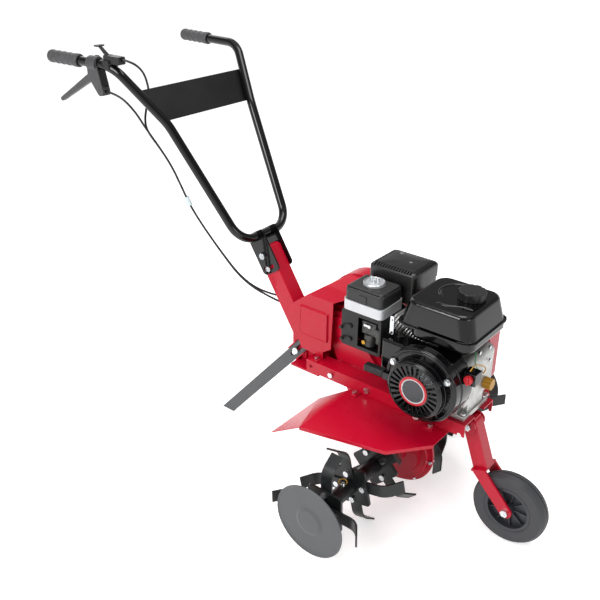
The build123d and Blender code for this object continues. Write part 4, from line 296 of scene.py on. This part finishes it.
def turned(name, outline, x, z, steps=96):
    """A piece turned round a line across the machine, from the radius and y of each corner of its section."""
    corners = [Vector((x + radius, y, z)) for radius, y in outline]
    same_point = 0.000001
    bpy.ops.object.select_all(action="DESELECT")
    bpy.ops.mesh.primitive_plane_add(size=0.001, location=(0, 0, 0))
    made = bpy.context.object
    made.name = name
    bpy.ops.object.mode_set(mode="EDIT")
    bpy.ops.mesh.select_all(action="SELECT")
    bpy.ops.mesh.merge(type="CENTER")
    bpy.ops.transform.translate(value=corners[0])
    for here, there in zip(corners, corners[1:] + corners[:1]):
        bpy.ops.mesh.extrude_vertices_move(TRANSFORM_OT_translate={"value": there - here})
    bpy.ops.mesh.select_all(action="SELECT")
    bpy.ops.mesh.remove_doubles(threshold=same_point)
    bpy.ops.mesh.spin(steps=steps, angle=2 * math.pi, center=(x, 0, z), axis=(0, 1, 0))
    bpy.ops.mesh.select_all(action="SELECT")
    bpy.ops.mesh.remove_doubles(threshold=same_point)
    bpy.ops.mesh.normals_make_consistent(inside=False)
    bpy.ops.object.mode_set(mode="OBJECT")
    bpy.ops.object.shade_smooth_by_angle(angle=math.radians(40))
    return made


def joined(name, parts):
    """Joins loose pieces into one."""
    take(parts[0])
    for part in parts:
        part.select_set(True)
    bpy.ops.object.join()
    parts[0].name = name
    return parts[0]


face_ring = ((0.0660, -0.1655), (0.0662, -0.1672), (0.0670, -0.1680),
             (0.0688, -0.1680), (0.0698, -0.1670), (0.0702, -0.1645))
inner_ring = ((0.0740, -0.1375), (0.0740, -0.1480), (0.0752, -0.1490),
              (0.0772, -0.1490), (0.0784, -0.1478), (0.0790, -0.1375))
outer_ring = ((0.0868, -0.1375), (0.0872, -0.1398), (0.0882, -0.1408),
              (0.0902, -0.1408), (0.0914, -0.1396), (0.0920, -0.1375))
rings = [turned("ring", outline, crank_x, crank_z) for outline in (face_ring, inner_ring, outer_ring)]
recoil_rings = joined("recoil_rings", rings)
settle(recoil_rings, black_enamel, "frame")
# Moulded nylon in red: satin, a little uneven in colour.
red_nylon = finish("red_nylon", ("B4161F", "C01D28"), gloss=(0.28, 0.38), drift_mm=15, grain_mm=1.0,
                   depth_mm=0.02)
badge_ring = turned("badge_ring", ((0.0325, -0.1660), (0.0325, -0.1680), (0.0335, -0.1688),
                                   (0.0372, -0.1688), (0.0384, -0.1678), (0.0384, -0.1660)), crank_x, crank_z)
settle(badge_ring, red_nylon, "frame")


def rod(name, radius, start, end, sides=64):
    """A round bar between two points."""
    way = Vector(end) - Vector(start)
    bpy.ops.object.select_all(action="DESELECT")
    bpy.ops.mesh.primitive_cylinder_add(vertices=sides, radius=radius, depth=way.length,
                                        location=(Vector(start) + Vector(end)) / 2,
                                        rotation=way.to_track_quat("Z", "Y").to_euler())
    made = bpy.context.object
    made.name = name
    bpy.ops.object.transform_apply()
    return made


badge_r, badge_y = 0.0330, recoil_y - 0.0012
badge_plate = rod("badge_plate", badge_r, (crank_x, recoil_y, crank_z), (crank_x, badge_y, crank_z), sides=96)
soften(badge_plate, width=0.0002)
# Lacquered aluminium in dark grey: smooth, with a slight metal sheen.
grey_alloy = finish("grey_alloy", ("3C3D40", "444549"), gloss=(0.25, 0.35), drift_mm=40, grain_mm=0.5,
                    depth_mm=0.005, metallic=0.3)
settle(badge_plate, grey_alloy, "frame")
badge_rim = turned("badge_rim", ((0.0295, -0.1665), (0.0295, -0.1680), (0.0302, -0.1684),
                                 (0.0318, -0.1684), (0.0325, -0.1680), (0.0325, -0.1665)), crank_x, crank_z)
# Lacquered aluminium left bright: the same sheen in silver.
silver_alloy = finish("silver_alloy", ("B9BBBE", "C4C6C9"), gloss=(0.25, 0.35), drift_mm=40, grain_mm=0.5,
                      depth_mm=0.005, metallic=0.3)
settle(badge_rim, silver_alloy, "frame")
bolt_circle, outward = 0.086, Vector((0, -1, 0))
lug_r, lug_foot, lug_top = 0.0118, -0.0010, 0.0040
washer_r, washer_foot, washer_top = 0.0088, 0.0039, 0.0056
head_r, head_foot, head_top = 0.0068, 0.0050, 0.0102
rib_r, rib_inner, rib_outer = 0.0026, 0.076, 0.0905
middle = Vector((crank_x, step_y, crank_z))
bolt_parts, lug_parts = [], []


def spoke(turn):
    """The way out from the crank's line, at an angle in degrees."""
    return Vector((math.cos(math.radians(turn)), 0, math.sin(math.radians(turn))))


for turn in (30, 150, 270):
    seat = middle + bolt_circle * spoke(turn)
    lug_parts.append(rod("lug", lug_r, seat + lug_foot * outward, seat + lug_top * outward, sides=48))
    bolt_parts.append(rod("washer", washer_r, seat + washer_foot * outward, seat + washer_top * outward,
                          sides=40))
    bolt_parts.append(rod("head", head_r, seat + head_foot * outward, seat + head_top * outward, sides=6))
recoil_bolts = joined("recoil_bolts", bolt_parts)
soften(recoil_bolts, width=0.0005)
settle(recoil_bolts, zinc_plate, "frame")
for turn in (60, 85, 110, 190, 210, 230, 250, 290, 310, 330, 350, 8):
    rib_start, rib_end = middle + rib_inner * spoke(turn), middle + rib_outer * spoke(turn)
    lug_parts.append(rod("rib", rib_r, rib_start, rib_end, sides=24))
recoil_lugs = joined("recoil_lugs", lug_parts)
soften(recoil_lugs, width=0.0010)
settle(recoil_lugs, black_enamel, "frame")

# Starter rope: braided black nylon, wound on the reel behind the cover.
# It is knotted into the pull handle and drawn out with it.
rope_r, rope_y, rope_z, rope_reel_x, rope_knot_x = 0.0026, -0.136, 0.441, 0.3545, 0.3290
rope = rod("starter_rope", rope_r, (rope_reel_x, rope_y, rope_z), (rope_knot_x, rope_y, rope_z), sides=24)
bpy.ops.object.shade_smooth_by_angle(angle=math.radians(40))
# Braided nylon: matt black, with the braid as a grain of 1.5 mm.
rope_nylon = finish("rope_nylon", ("1A1A1B", "232324"), gloss=(0.6, 0.75), drift_mm=10, grain_mm=1.5,
                    depth_mm=0.1)
rope.data.materials.append(rope_nylon)
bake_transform(rope, "frame", "starter", start=(0.352, rope_y, rope_z), end=(0.331, rope_y, rope_z))

# Fuel tank: two deep-drawn steel halves rolled together at the seam, in black gloss enamel.
# Two stiffening beads are pressed up in its top beside the filler, which has a moulded cap.
eased(black_enamel, "fuel_tank", edge_mm=1.0)
bead_r, bead_z, bead_dip = 0.005, 0.6335, 0.628
bead_runs = (
    ((0.446, 0.078, bead_dip), (0.436, 0.076, bead_z), (0.404, 0.066, bead_z), (0.384, 0.046, bead_z),
     (0.378, 0.020, bead_z), (0.384, -0.004, bead_z), (0.402, -0.020, bead_z), (0.410, -0.025, bead_dip)),
    ((0.402, -0.056, bead_dip), (0.412, -0.058, bead_z), (0.438, -0.058, bead_z), (0.456, -0.048, bead_z),
     (0.474, -0.038, bead_z), (0.494, -0.038, bead_z), (0.504, -0.040, bead_dip)),
)
tank_beads = joined("tank_beads", [strand("bead", run, bead_r)[0] for run in bead_runs])
settle(tank_beads, black_enamel, "frame")
eased(black_abs, "fuel_cap", edge_mm=0.6)

# Air cleaner and control box: moulded covers over a bright pressed base, held down by a plated wing nut.
# A small clip is moulded on the cover's side, and the levers stand on the plate below it.
# Lacquered bright steel: soft silver, with little relief.
bright_steel = finish("bright_steel", ("C9CBCD", "BEC0C3"), gloss=(0.26, 0.36), drift_mm=60, grain_mm=2.0,
                      depth_mm=0.02, metallic=0.4)
eased(bright_steel, "air_cleaner_base", edge_mm=0.6)
# Moulded ABS in charcoal: satin, with a stronger texture that is drawn coarser than life so that it shows.
charcoal_abs = finish("charcoal_abs", ("242425", "2B2B2C"), gloss=(0.4, 0.5), drift_mm=50, grain_mm=0.9,
                      depth_mm=0.05, specular=0.4)
eased(charcoal_abs, "air_cleaner_cover", edge_mm=1.0)
eased(black_abs, "control_box", edge_mm=0.8)
eased(black_abs, "choke_lever", "fuel_lever", edge_mm=0.4)
eased(zinc_plate, "governor_arm", edge_mm=0.3)


def slab(name, low, high, edge=0.0):
    """A block between two corners, with its edges rounded over."""
    low, high = Vector(low), Vector(high)
    bpy.ops.object.select_all(action="DESELECT")
    bpy.ops.mesh.primitive_cube_add(size=1, location=(low + high) / 2)
    made = bpy.context.object
    made.name = name
    made.scale = high - low
    bpy.ops.object.transform_apply()
    if edge:
        soften(made, edge)
    return made


cleaner_clip = slab("cleaner_clip", low=(0.212, -0.0968, 0.586), high=(0.234, -0.0945, 0.606), edge=0.0008)
settle(cleaner_clip, charcoal_abs, "frame")
nut_x, nut_y, nut_z = 0.222, -0.044, 0.627
nut_rim_r, nut_wire_r, nut_hub_r, nut_hub_foot, nut_hub_top = 0.0265, 0.0024, 0.0075, -0.001, 0.006
ear_at, ear_half, ear_t, ear_foot, ear_top = 0.0095, 0.0038, 0.003, 0.002, 0.0145


def hoop(place, turn, radius, wire_r, segments):
    """A ring of round wire."""
    bpy.ops.object.select_all(action="DESELECT")
    bpy.ops.mesh.primitive_torus_add(location=place, rotation=turn, major_radius=radius, minor_radius=wire_r,
                                     major_segments=segments, minor_segments=12)
    bpy.ops.object.transform_apply()
    bpy.ops.object.shade_smooth()
    return bpy.context.object


nut_rim = hoop((nut_x, nut_y, nut_z), (0, 0, 0), nut_rim_r, nut_wire_r, segments=72)
nut_parts = [nut_rim, rod("hub", nut_hub_r, (nut_x, nut_y, nut_z + nut_hub_foot),
                          (nut_x, nut_y, nut_z + nut_hub_top), sides=40)]
for way in (-1, 1):
    ear_x = nut_x + ear_at * way
    nut_parts.append(slab("ear", (ear_x - ear_half, nut_y - ear_t, nut_z + ear_foot),
                          (ear_x + ear_half, nut_y + ear_t, nut_z + ear_top), edge=0.002))
wing_nut = joined("wing_nut", nut_parts)
settle(wing_nut, zinc_plate, "frame")

# Carburettor: die-cast body on the inlet with a pressed float bowl, seen through the control box's window.
# A black heat shield stands behind it, the bowl has a brass drain screw and the shaft a plated lever.
# Die-cast alloy dulled by fuel: dark grey, with a fine cast grain.
dark_alloy = finish("dark_alloy", ("4E4F4D", "3E3F3E"), gloss=(0.35, 0.5), drift_mm=12, grain_mm=1.0,
                    depth_mm=0.05, metallic=0.8)
eased(dark_alloy, "carburettor", edge_mm=0.5)
# Stove enamel that stands heat: black and half glossy.
stove_enamel = finish("stove_enamel", ("121212", "1A1918"), gloss=(0.3, 0.42), drift_mm=30, grain_mm=1.5,
                      depth_mm=0.03)
heat_shield = slab("heat_shield", low=(0.166, -0.0576, 0.456), high=(0.280, -0.0564, 0.552))
settle(heat_shield, stove_enamel, "frame")
inlet_body = slab("carburettor_body", low=(0.220, -0.090, 0.500), high=(0.264, -0.060, 0.536), edge=0.003)
settle(inlet_body, dark_alloy, "frame")
bowl_x, bowl_y, bowl_r, bowl_foot, bowl_top = 0.240, -0.075, 0.018, 0.464, 0.4995
float_bowl = rod("float_bowl", bowl_r, (bowl_x, bowl_y, bowl_foot), (bowl_x, bowl_y, bowl_top))
soften(float_bowl, width=0.003)
settle(float_bowl, dark_alloy, "frame")
# Turned brass: warm yellow metal, a little dulled.
brass = finish("brass", ("B58E3E", "A57D31"), gloss=(0.25, 0.38), drift_mm=8, grain_mm=0.7, depth_mm=0.01,
               metallic=1.0)
drain_x, drain_z, shank_r, drain_head_r = 0.2315, 0.478, 0.0035, 0.0062
drain_screw = joined("drain_screw", [
    rod("shank", shank_r, (drain_x, -0.088, drain_z), (drain_x, -0.0965, drain_z), sides=32),
    rod("head", drain_head_r, (drain_x, -0.0945, drain_z), (drain_x, -0.0975, drain_z), sides=6)])
soften(drain_screw, width=0.0004)
settle(drain_screw, brass, "frame")
pivot_x, pivot_z, pivot_r = 0.246, 0.5265, 0.0045
shaft_lever = joined("shaft_lever", [
    slab("blade", low=(0.229, -0.0942, 0.5235), high=(0.250, -0.0925, 0.5295), edge=0.0004),
    rod("pivot", pivot_r, (pivot_x, -0.089, pivot_z), (pivot_x, -0.0955, pivot_z), sides=32)])
soften(shaft_lever, width=0.0003)
settle(shaft_lever, zinc_plate, "frame")

# Muffler and guard: stove-enamelled pressings. The guard is drawn with a domed cap, a row of slots pierced
# along each edge of the cap and a lower skirt, and two plated screws hold it from above.
dress(stove_enamel, "muffler")
guard_x, guard_y, guard_length, guard_width = 0.238, 0.069, 0.136, 0.118
guard_foot, guard_half, guard_round, guard_sheet = 0.564, 0.068, 0.010, 0.002
# The height and half length of the guard's section, from the top of the skirt over the dome.
guard_profile = ((0.6095, 0.068), (0.6105, 0.070), (0.6390, 0.070), (0.6425, 0.0696), (0.6455, 0.0684),
                 (0.6480, 0.0660), (0.6500, 0.0615), (0.6515, 0.0520), (0.6530, 0.0350), (0.6538, 0.0180))
bpy.ops.object.select_all(action="DESELECT")
bpy.ops.mesh.primitive_plane_add(size=1, location=(guard_x, guard_y, guard_foot))
guard = bpy.context.object
guard.name = "muffler_guard_drawn"
guard.scale = (guard_length, guard_width, 1)
bpy.ops.object.transform_apply()
bpy.ops.object.mode_set(mode="EDIT")
bpy.ops.mesh.select_all(action="SELECT")
bpy.ops.mesh.bevel(offset=guard_round, segments=8, affect="VERTICES")
bpy.ops.mesh.select_all(action="SELECT")
last_level, last_half = guard_foot, guard_half
for level, half in guard_profile:
    bpy.ops.mesh.extrude_region_move(TRANSFORM_OT_translate={"value": (0, 0, level - last_level)})
    bpy.ops.transform.resize(value=(half / last_half, half / last_half, 1),
                             center_override=(guard_x, guard_y, level))
    last_level, last_half = level, half
bpy.ops.mesh.select_mode(type="FACE")
bpy.ops.mesh.select_all(action="DESELECT")
bpy.ops.object.mode_set(mode="OBJECT")
for face in guard.data.polygons:
    face.select = face.center.z < guard_foot + guard_sheet / 4
bpy.ops.object.mode_set(mode="EDIT")
bpy.ops.mesh.delete(type="FACE")
bpy.ops.mesh.select_mode(type="VERT")
bpy.ops.mesh.select_all(action="SELECT")
bpy.ops.mesh.normals_make_consistent(inside=False)
bpy.ops.object.mode_set(mode="OBJECT")
sheet = guard.modifiers.new("sheet", "SOLIDIFY")
sheet.thickness = guard_sheet
bpy.ops.object.modifier_apply(modifier="sheet")
hole_half, hole_reach, hole_foot, hole_top = 0.002, 0.0065, 0.6385, 0.67
long_count, long_start, long_run, long_sides = 14, 0.185, 0.106, (0.0165, 0.1215)
short_count, short_start, short_run, short_sides = 11, 0.0265, 0.085, (0.1770, 0.2990)
holes = []
for step in range(long_count):
    x = long_start + long_run * step / (long_count - 1)
    for y in long_sides:
        holes.append(slab("hole", (x - hole_half, y - hole_reach, hole_foot),
                          (x + hole_half, y + hole_reach, hole_top)))
for step in range(short_count):
    y = short_start + short_run * step / (short_count - 1)
    for x in short_sides:
        holes.append(slab("hole", (x - hole_reach, y - hole_half, hole_foot),
                          (x + hole_reach, y + hole_half, hole_top)))
punch = joined("punch", holes)
take(guard)
pierced = guard.modifiers.new("pierced", "BOOLEAN")
pierced.operation = "DIFFERENCE"
pierced.solver = "EXACT"
pierced.object = punch
bpy.ops.object.modifier_apply(modifier="pierced")
bpy.data.objects.remove(punch)
bpy.ops.object.shade_smooth_by_angle(angle=math.radians(35))
settle(guard, stove_enamel, "frame")
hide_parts("muffler_guard")
guard_screw_r, guard_screw_foot, guard_screw_top = 0.0048, 0.6500, 0.6539
guard_screws = joined("guard_screws", [
    rod("screw", guard_screw_r, (x, y, guard_screw_foot), (x, y, guard_screw_top), sides=32)
    for x, y in ((0.207, 0.105), (0.258, 0.067))])
soften(guard_screws, width=0.0008)
settle(guard_screws, zinc_plate, "frame")

# Switch and oil plug: moulded nylon knobs on the engine's front.
# The switch's thin leads run down beside them, between plated screws in the crankcase.
eased(red_nylon, "engine_switch", edge_mm=0.6)
# Moulded nylon in ochre: satin, a little uneven in colour.
yellow_nylon = finish("yellow_nylon", ("C2902A", "B58322"), gloss=(0.35, 0.5), drift_mm=10, grain_mm=1.0,
                      depth_mm=0.03)
eased(yellow_nylon, "oil_plug", edge_mm=0.4)
lead_r, earth_r = 0.0016, 0.0014
lead = strand("switch_lead", (
    (0.528, -0.088, 0.498), (0.531, -0.082, 0.511), (0.529, -0.062, 0.509), (0.524, -0.036, 0.494),
    (0.522, -0.008, 0.481), (0.521, 0.016, 0.464), (0.519, 0.026, 0.449), (0.513, 0.026, 0.438)), lead_r)[0]
settle(lead, yellow_nylon, "frame")
earth_lead = strand("earth_lead", (
    (0.514, -0.044, 0.534), (0.5205, -0.046, 0.530), (0.5225, -0.048, 0.520), (0.5200, -0.046, 0.506),
    (0.5190, -0.036, 0.490), (0.5190, -0.020, 0.474), (0.5190, -0.004, 0.456), (0.5190, 0.006, 0.440),
    (0.514, 0.008, 0.430)), earth_r)[0]
# Vinyl insulation in green: smooth, with a soft gloss.
green_vinyl = finish("green_vinyl", ("2F7A3C", "37854A"), gloss=(0.35, 0.45), drift_mm=20, grain_mm=1.0,
                     depth_mm=0.01)
settle(earth_lead, green_vinyl, "frame")
lead_screw_r, lead_screw_foot, lead_screw_top = 0.0052, 0.516, 0.5205
lead_screws = joined("lead_screws", [
    rod("screw", lead_screw_r, (lead_screw_foot, y, z), (lead_screw_top, y, z), sides=6)
    for y, z in ((-0.020, 0.520), (0.034, 0.512), (0.044, 0.470), (-0.048, 0.452))])
soften(lead_screws, width=0.0005)
settle(lead_screws, zinc_plate, "frame")

# Rotor: hubs with square flanges and bent spring-steel tines, dipped in charcoal paint, on plated bolts.
# The side discs are spun from sheet, with a raised centre, and sprayed grey. Ring clips lock the hubs.
# Dipped paint: nearly black and half glossy, slightly wavy.
tine_paint = finish("tine_paint", ("151718", "1D1F20"), gloss=(0.28, 0.4), drift_mm=40, grain_mm=2.0,
                    depth_mm=0.03, specular=0.4)
eased(tine_paint, "tine_hubs", "tines", edge_mm=0.8)
dress(zinc_plate, "tine_bolts")
# Sprayed paint in grey: satin, with a slight orange peel.
disc_paint = finish("disc_paint", ("46484A", "4F5153"), gloss=(0.34, 0.44), drift_mm=80, grain_mm=2.0,
                    depth_mm=0.02, specular=0.4)
eased(disc_paint, "side_discs", edge_mm=0.6)
clip_x, clip_y, clip_z, clip_r, clip_wire_r = 0.302, 0.264, 0.168, 0.010, 0.0016
clip_turn = (math.pi / 2, 0, 0.6)
lock_clips = joined("lock_clips", [hoop((clip_x, y, clip_z), clip_turn, clip_r, clip_wire_r, segments=48)
                                   for y in (-clip_y, clip_y)])
settle(lock_clips, brass, body_of(frame["nodes"]["tine_bolts"])[0])

# Transport wheel: solid rubber tyre on a moulded spoked rim, turning on a plated bolt.
# The fork is welded from plate, sprayed red, and swings up on the frame's front ears.
eased(red_enamel, "wheel_fork", edge_mm=0.8)
# Moulded rubber, worn grey: matt, with a faint texture.
tyre_rubber = finish("tyre_rubber", ("303134", "393A3D"), gloss=(0.5, 0.62), drift_mm=40, grain_mm=1.2,
                     depth_mm=0.05)
eased(tyre_rubber, "wheel_tyre", edge_mm=0.8)
# Moulded nylon in slate grey: satin.
rim_nylon = finish("rim_nylon", ("2A2C31", "313338"), gloss=(0.38, 0.5), drift_mm=40, grain_mm=1.0,
                   depth_mm=0.03)
eased(rim_nylon, "wheel_rim", edge_mm=0.6)
dress(zinc_plate, "wheel_axle")

# Handlebar: steel tube bent in one piece and welded to the clevis plates, in black gloss enamel.
# A sheet panel is riveted between its arms, and the ribbed grips are moulded soft rubber, pushed on.
eased(black_enamel, "handlebar", edge_mm=0.5)
# Sprayed paint in black: satin and even.
panel_paint = finish("panel_paint", ("0E0E0F", "131314"), gloss=(0.38, 0.48), drift_mm=80, grain_mm=1.2,
                     depth_mm=0.02, specular=0.3)
eased(panel_paint, "handle_panel", edge_mm=0.4)
# Soft moulded rubber: dark grey and matt.
grip_rubber = finish("grip_rubber", ("3A3A3B", "444446"), gloss=(0.5, 0.62), drift_mm=30, grain_mm=1.0,
                     depth_mm=0.05)
wave_start, wave_mean_r, wave_rise = 0.012, 0.0166, 0.001
wave_step, steps_per_wave, wave_steps = 0.0028, 8, 32
grip_outline = [(0.0, 0.0), (0.0125, 0.0), (0.0160, 0.002), (0.0174, 0.006), (0.0176, wave_start)]
for step in range(1, wave_steps + 1):
    wave = math.cos(2 * math.pi * step / steps_per_wave)
    grip_outline.append((wave_mean_r + wave_rise * wave, wave_start + wave_step * step))
grip_outline += [(0.0178, 0.106), (0.0178, 0.117), (0.0165, 0.120), (0.0128, 0.120), (0.0128, 0.004),
                 (0.0, 0.004)]
tube_end, tube_run, grip_past = Vector((-0.7395, 0.25, 1.1)), Vector((0.2405, -0.014, -0.001)), 0.004
pair = []
for hand in (-1, 1):
    side = Vector((1, hand, 1))
    way = (tube_run * side).normalized()
    grip = turned("grip", grip_outline, 0.0, 0.0, steps=64)
    swing = Vector((0, 1, 0)).rotation_difference(way).to_matrix().to_4x4()
    grip.matrix_world = Matrix.Translation(tube_end * side - grip_past * way) @ swing
    bpy.ops.object.transform_apply()
    pair.append(grip)
grips = joined("grips_moulded", pair)
settle(grips, grip_rubber, "handle")
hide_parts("grips")

# Clutch lever and throttle: glass-filled nylon mouldings clamped on the right handle.
# A dark strip is set into the face of the clutch lever's bracket.
# Glass-filled nylon: dark grey and matt, with the mould's texture drawn coarser than life so that it shows.
lever_nylon = finish("lever_nylon", ("38383A", "424244"), gloss=(0.4, 0.52), drift_mm=30, grain_mm=1.0,
                     depth_mm=0.04)
eased(lever_nylon, "clutch_bracket", "clutch_lever", edge_mm=0.8)
strip_half, strip_at, strip_lean = Vector((0.003, 0.0123, 0.022)), (-0.5385, -0.2399, 1.066), -14.8
strip = slab("clutch_strip", -strip_half, strip_half, edge=0.0015)
strip.matrix_world = Matrix.Translation(strip_at) @ Matrix.Rotation(math.radians(strip_lean), 4, "Y")
bpy.ops.object.transform_apply()
settle(strip, black_abs, "handle")
eased(black_abs, "throttle_body", "throttle_lever", edge_mm=0.5)

# Drag bar and pin: flat steel bar that sets the tilling depth, painted grey.
# A plated pin through its slot holds it in the hitch plates.
# Sprayed paint in grey: satin, with a slight orange peel.
bar_paint = finish("bar_paint", ("434547", "4C4E50"), gloss=(0.38, 0.48), drift_mm=60, grain_mm=2.0,
                   depth_mm=0.03)
eased(bar_paint, "drag_bar", edge_mm=0.8)
dress(zinc_plate, "hitch_pin")

# Bolts of the frame, case, engine and handle: hexagon heads of forged steel.
# They are zinc-plated, and the forging leaves their edges slightly round.
eased(zinc_plate, "frame_bolts", edge_mm=0.4)

# Control cables: steel wire in a black vinyl sheath, from the clutch lever and the throttle down the handle
# to the anchor on the frame. They bend when the handle is tilted, and a pale sleeve ties them together.
# Extruded vinyl: black, with a soft gloss.
sheath_vinyl = finish("sheath_vinyl", ("0E0E10", "141418"), gloss=(0.3, 0.42), drift_mm=30, grain_mm=1.0,
                      depth_mm=0.02)
cable_r = 0.003
cable_runs = {
    "clutch_cable": (0.921, (
        (-0.541, -0.240, 1.031), (-0.488, -0.235, 1.028), (-0.452, -0.215, 0.988), (-0.423, -0.203, 0.939),
        (-0.390, -0.190, 0.892), (-0.361, -0.178, 0.844), (-0.339, -0.169, 0.791), (-0.318, -0.160, 0.738),
        (-0.290, -0.148, 0.688), (-0.261, -0.134, 0.640), (-0.232, -0.118, 0.591), (-0.206, -0.099, 0.543),
        (-0.175, -0.073, 0.501), (-0.143, -0.039, 0.468), (-0.120, 0.001, 0.436), (-0.087, 0.043, 0.410),
        (-0.028, 0.057, 0.401),
    )),
    "throttle_cable": (1.033, (
        (-0.475, -0.233, 1.121), (-0.448, -0.231, 1.119), (-0.434, -0.214, 1.109), (-0.443, -0.186, 1.089),
        (-0.462, -0.158, 1.062), (-0.474, -0.140, 1.022), (-0.470, -0.157, 0.984), (-0.452, -0.182, 0.955),
        (-0.428, -0.197, 0.932), (-0.395, -0.185, 0.889), (-0.366, -0.173, 0.841), (-0.344, -0.164, 0.788),
        (-0.323, -0.155, 0.735), (-0.295, -0.143, 0.685), (-0.266, -0.129, 0.637), (-0.237, -0.112, 0.588),
        (-0.211, -0.092, 0.540), (-0.181, -0.065, 0.499), (-0.154, -0.029, 0.471), (-0.130, 0.016, 0.448),
        (-0.088, 0.047, 0.426), (-0.028, 0.057, 0.417),
    )),
}
for name, (length, points) in cable_runs.items():
    tube, centre = strand(name + "_sheath", points, cable_r)
    tube.data.materials.append(sheath_vinyl)
    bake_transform(tube, "frame", "handle", start=(-0.12, 0.0, 0.45), end=(-0.24, -0.12, 0.62))
    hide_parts(name)
# Moulded nylon, nearly white: smooth, with a soft gloss.
tie_nylon = finish("tie_nylon", ("D5E2E6", "C8D8DD"), gloss=(0.3, 0.4), drift_mm=20, grain_mm=1.0,
                   depth_mm=0.01)
tie_r, tie_top, tie_foot = 0.0073, (-0.3297, -0.1615, 0.7599), (-0.3203, -0.1575, 0.7361)
tie = rod("cable_sleeve", tie_r, tie_top, tie_foot, sides=32)
soften(tie, width=0.001)
settle(tie, tie_nylon, "handle")

# Stage: a plain white floor under soft studio light, seen from the photograph's place.
# The floor is lifted to white only where it is seen or mirrored, and keeps the object's shadow.
floor_glow = 0.52
bpy.ops.object.select_all(action="DESELECT")
bpy.ops.mesh.primitive_plane_add(size=60)
floor = bpy.context.object
floor.name = "studio_floor"
floor_white = bpy.data.materials.new("floor_white")
floor_white.use_nodes = True
floor_tree = floor_white.node_tree
floor_shader = floor_tree.nodes["Principled BSDF"]
floor_shader.inputs["Base Color"].default_value = linear("F4F4F4")
floor_shader.inputs["Roughness"].default_value = 0.9
floor_shader.inputs["Emission Color"].default_value = linear("FFFFFF")
path = add(floor_tree, "LightPath", {}).outputs
mirrored = add(floor_tree, "Math", {0: path["Is Glossy Ray"], 1: path["Is Transmission Ray"]},
               operation="MAXIMUM").outputs["Value"]
seen = add(floor_tree, "Math", {0: path["Is Camera Ray"], 1: mirrored}, operation="MAXIMUM").outputs["Value"]
glow = add(floor_tree, "MapRange", {"Value": seen, "To Min": 0.0, "To Max": floor_glow})
floor_tree.links.new(glow.outputs["Result"], floor_shader.inputs["Emission Strength"])
floor.data.materials.append(floor_white)

# Studio light: a white room that is darker halfway up its walls, and four soft lamps.
# The darker band gives the gloss paint something to mirror.
world = bpy.data.worlds.new("studio")
bpy.context.scene.world = world
world.use_nodes = True
sky = world.node_tree
height = add(sky, "SeparateXYZ", {"Vector": add(sky, "TexCoord", {}).outputs["Generated"]}).outputs["Z"]
shades = add(sky, "ValToRGB", {"Fac": height})
shades.color_ramp.elements[0].color = linear("FFFFFF")
for spot, shade in ((0.18, "FFFFFF"), (0.32, "808080"), (0.60, "8C8C8C"), (0.85, "E6E6E6")):
    shades.color_ramp.elements.new(spot).color = linear(shade)
sky.links.new(shades.outputs["Color"], sky.nodes["Background"].inputs["Color"])
lamp_aim = Vector((0.05, 0, 0.45))
for name, place, size, power in (("key", (-0.3, -2.6, 2.2), 1.4, 61), ("top", (0.2, 0.2, 3.4), 1.6, 41),
                                 ("fill", (2.6, -0.6, 1.2), 1.0, 8), ("rear", (-2.4, 1.1, 2.2), 1.6, 14)):
    lamp = bpy.data.lights.new(name, "AREA")
    lamp.size = size
    lamp.energy = power
    holder = bpy.data.objects.new(name, lamp)
    bpy.context.scene.collection.objects.link(holder)
    holder.location = place
    holder.rotation_euler = (lamp_aim - Vector(place)).to_track_quat("-Z", "Y").to_euler()

# Camera: at the photograph's place, with its field of view.
# Its pan, tilt and roll are in degrees.
camera_at, camera_pan, camera_tilt, camera_roll = (1.22261, -1.58045, 1.50541), 38.98, 62.96, 0.36
view = bpy.data.cameras.new("photo_view")
view.lens = 47.93
view.sensor_width = 36.0
camera = bpy.data.objects.new("photo_view", view)
bpy.context.scene.collection.objects.link(camera)
camera_turn = Matrix.Rotation(math.radians(camera_pan), 4, "Z")
for angle, axis in ((camera_tilt, "X"), (camera_roll, "Z")):
    camera_turn = camera_turn @ Matrix.Rotation(math.radians(angle), 4, axis)
camera.matrix_world = Matrix.Translation(camera_at) @ camera_turn
bpy.context.scene.camera = camera
bpy.context.scene.view_settings.view_transform = "Standard"
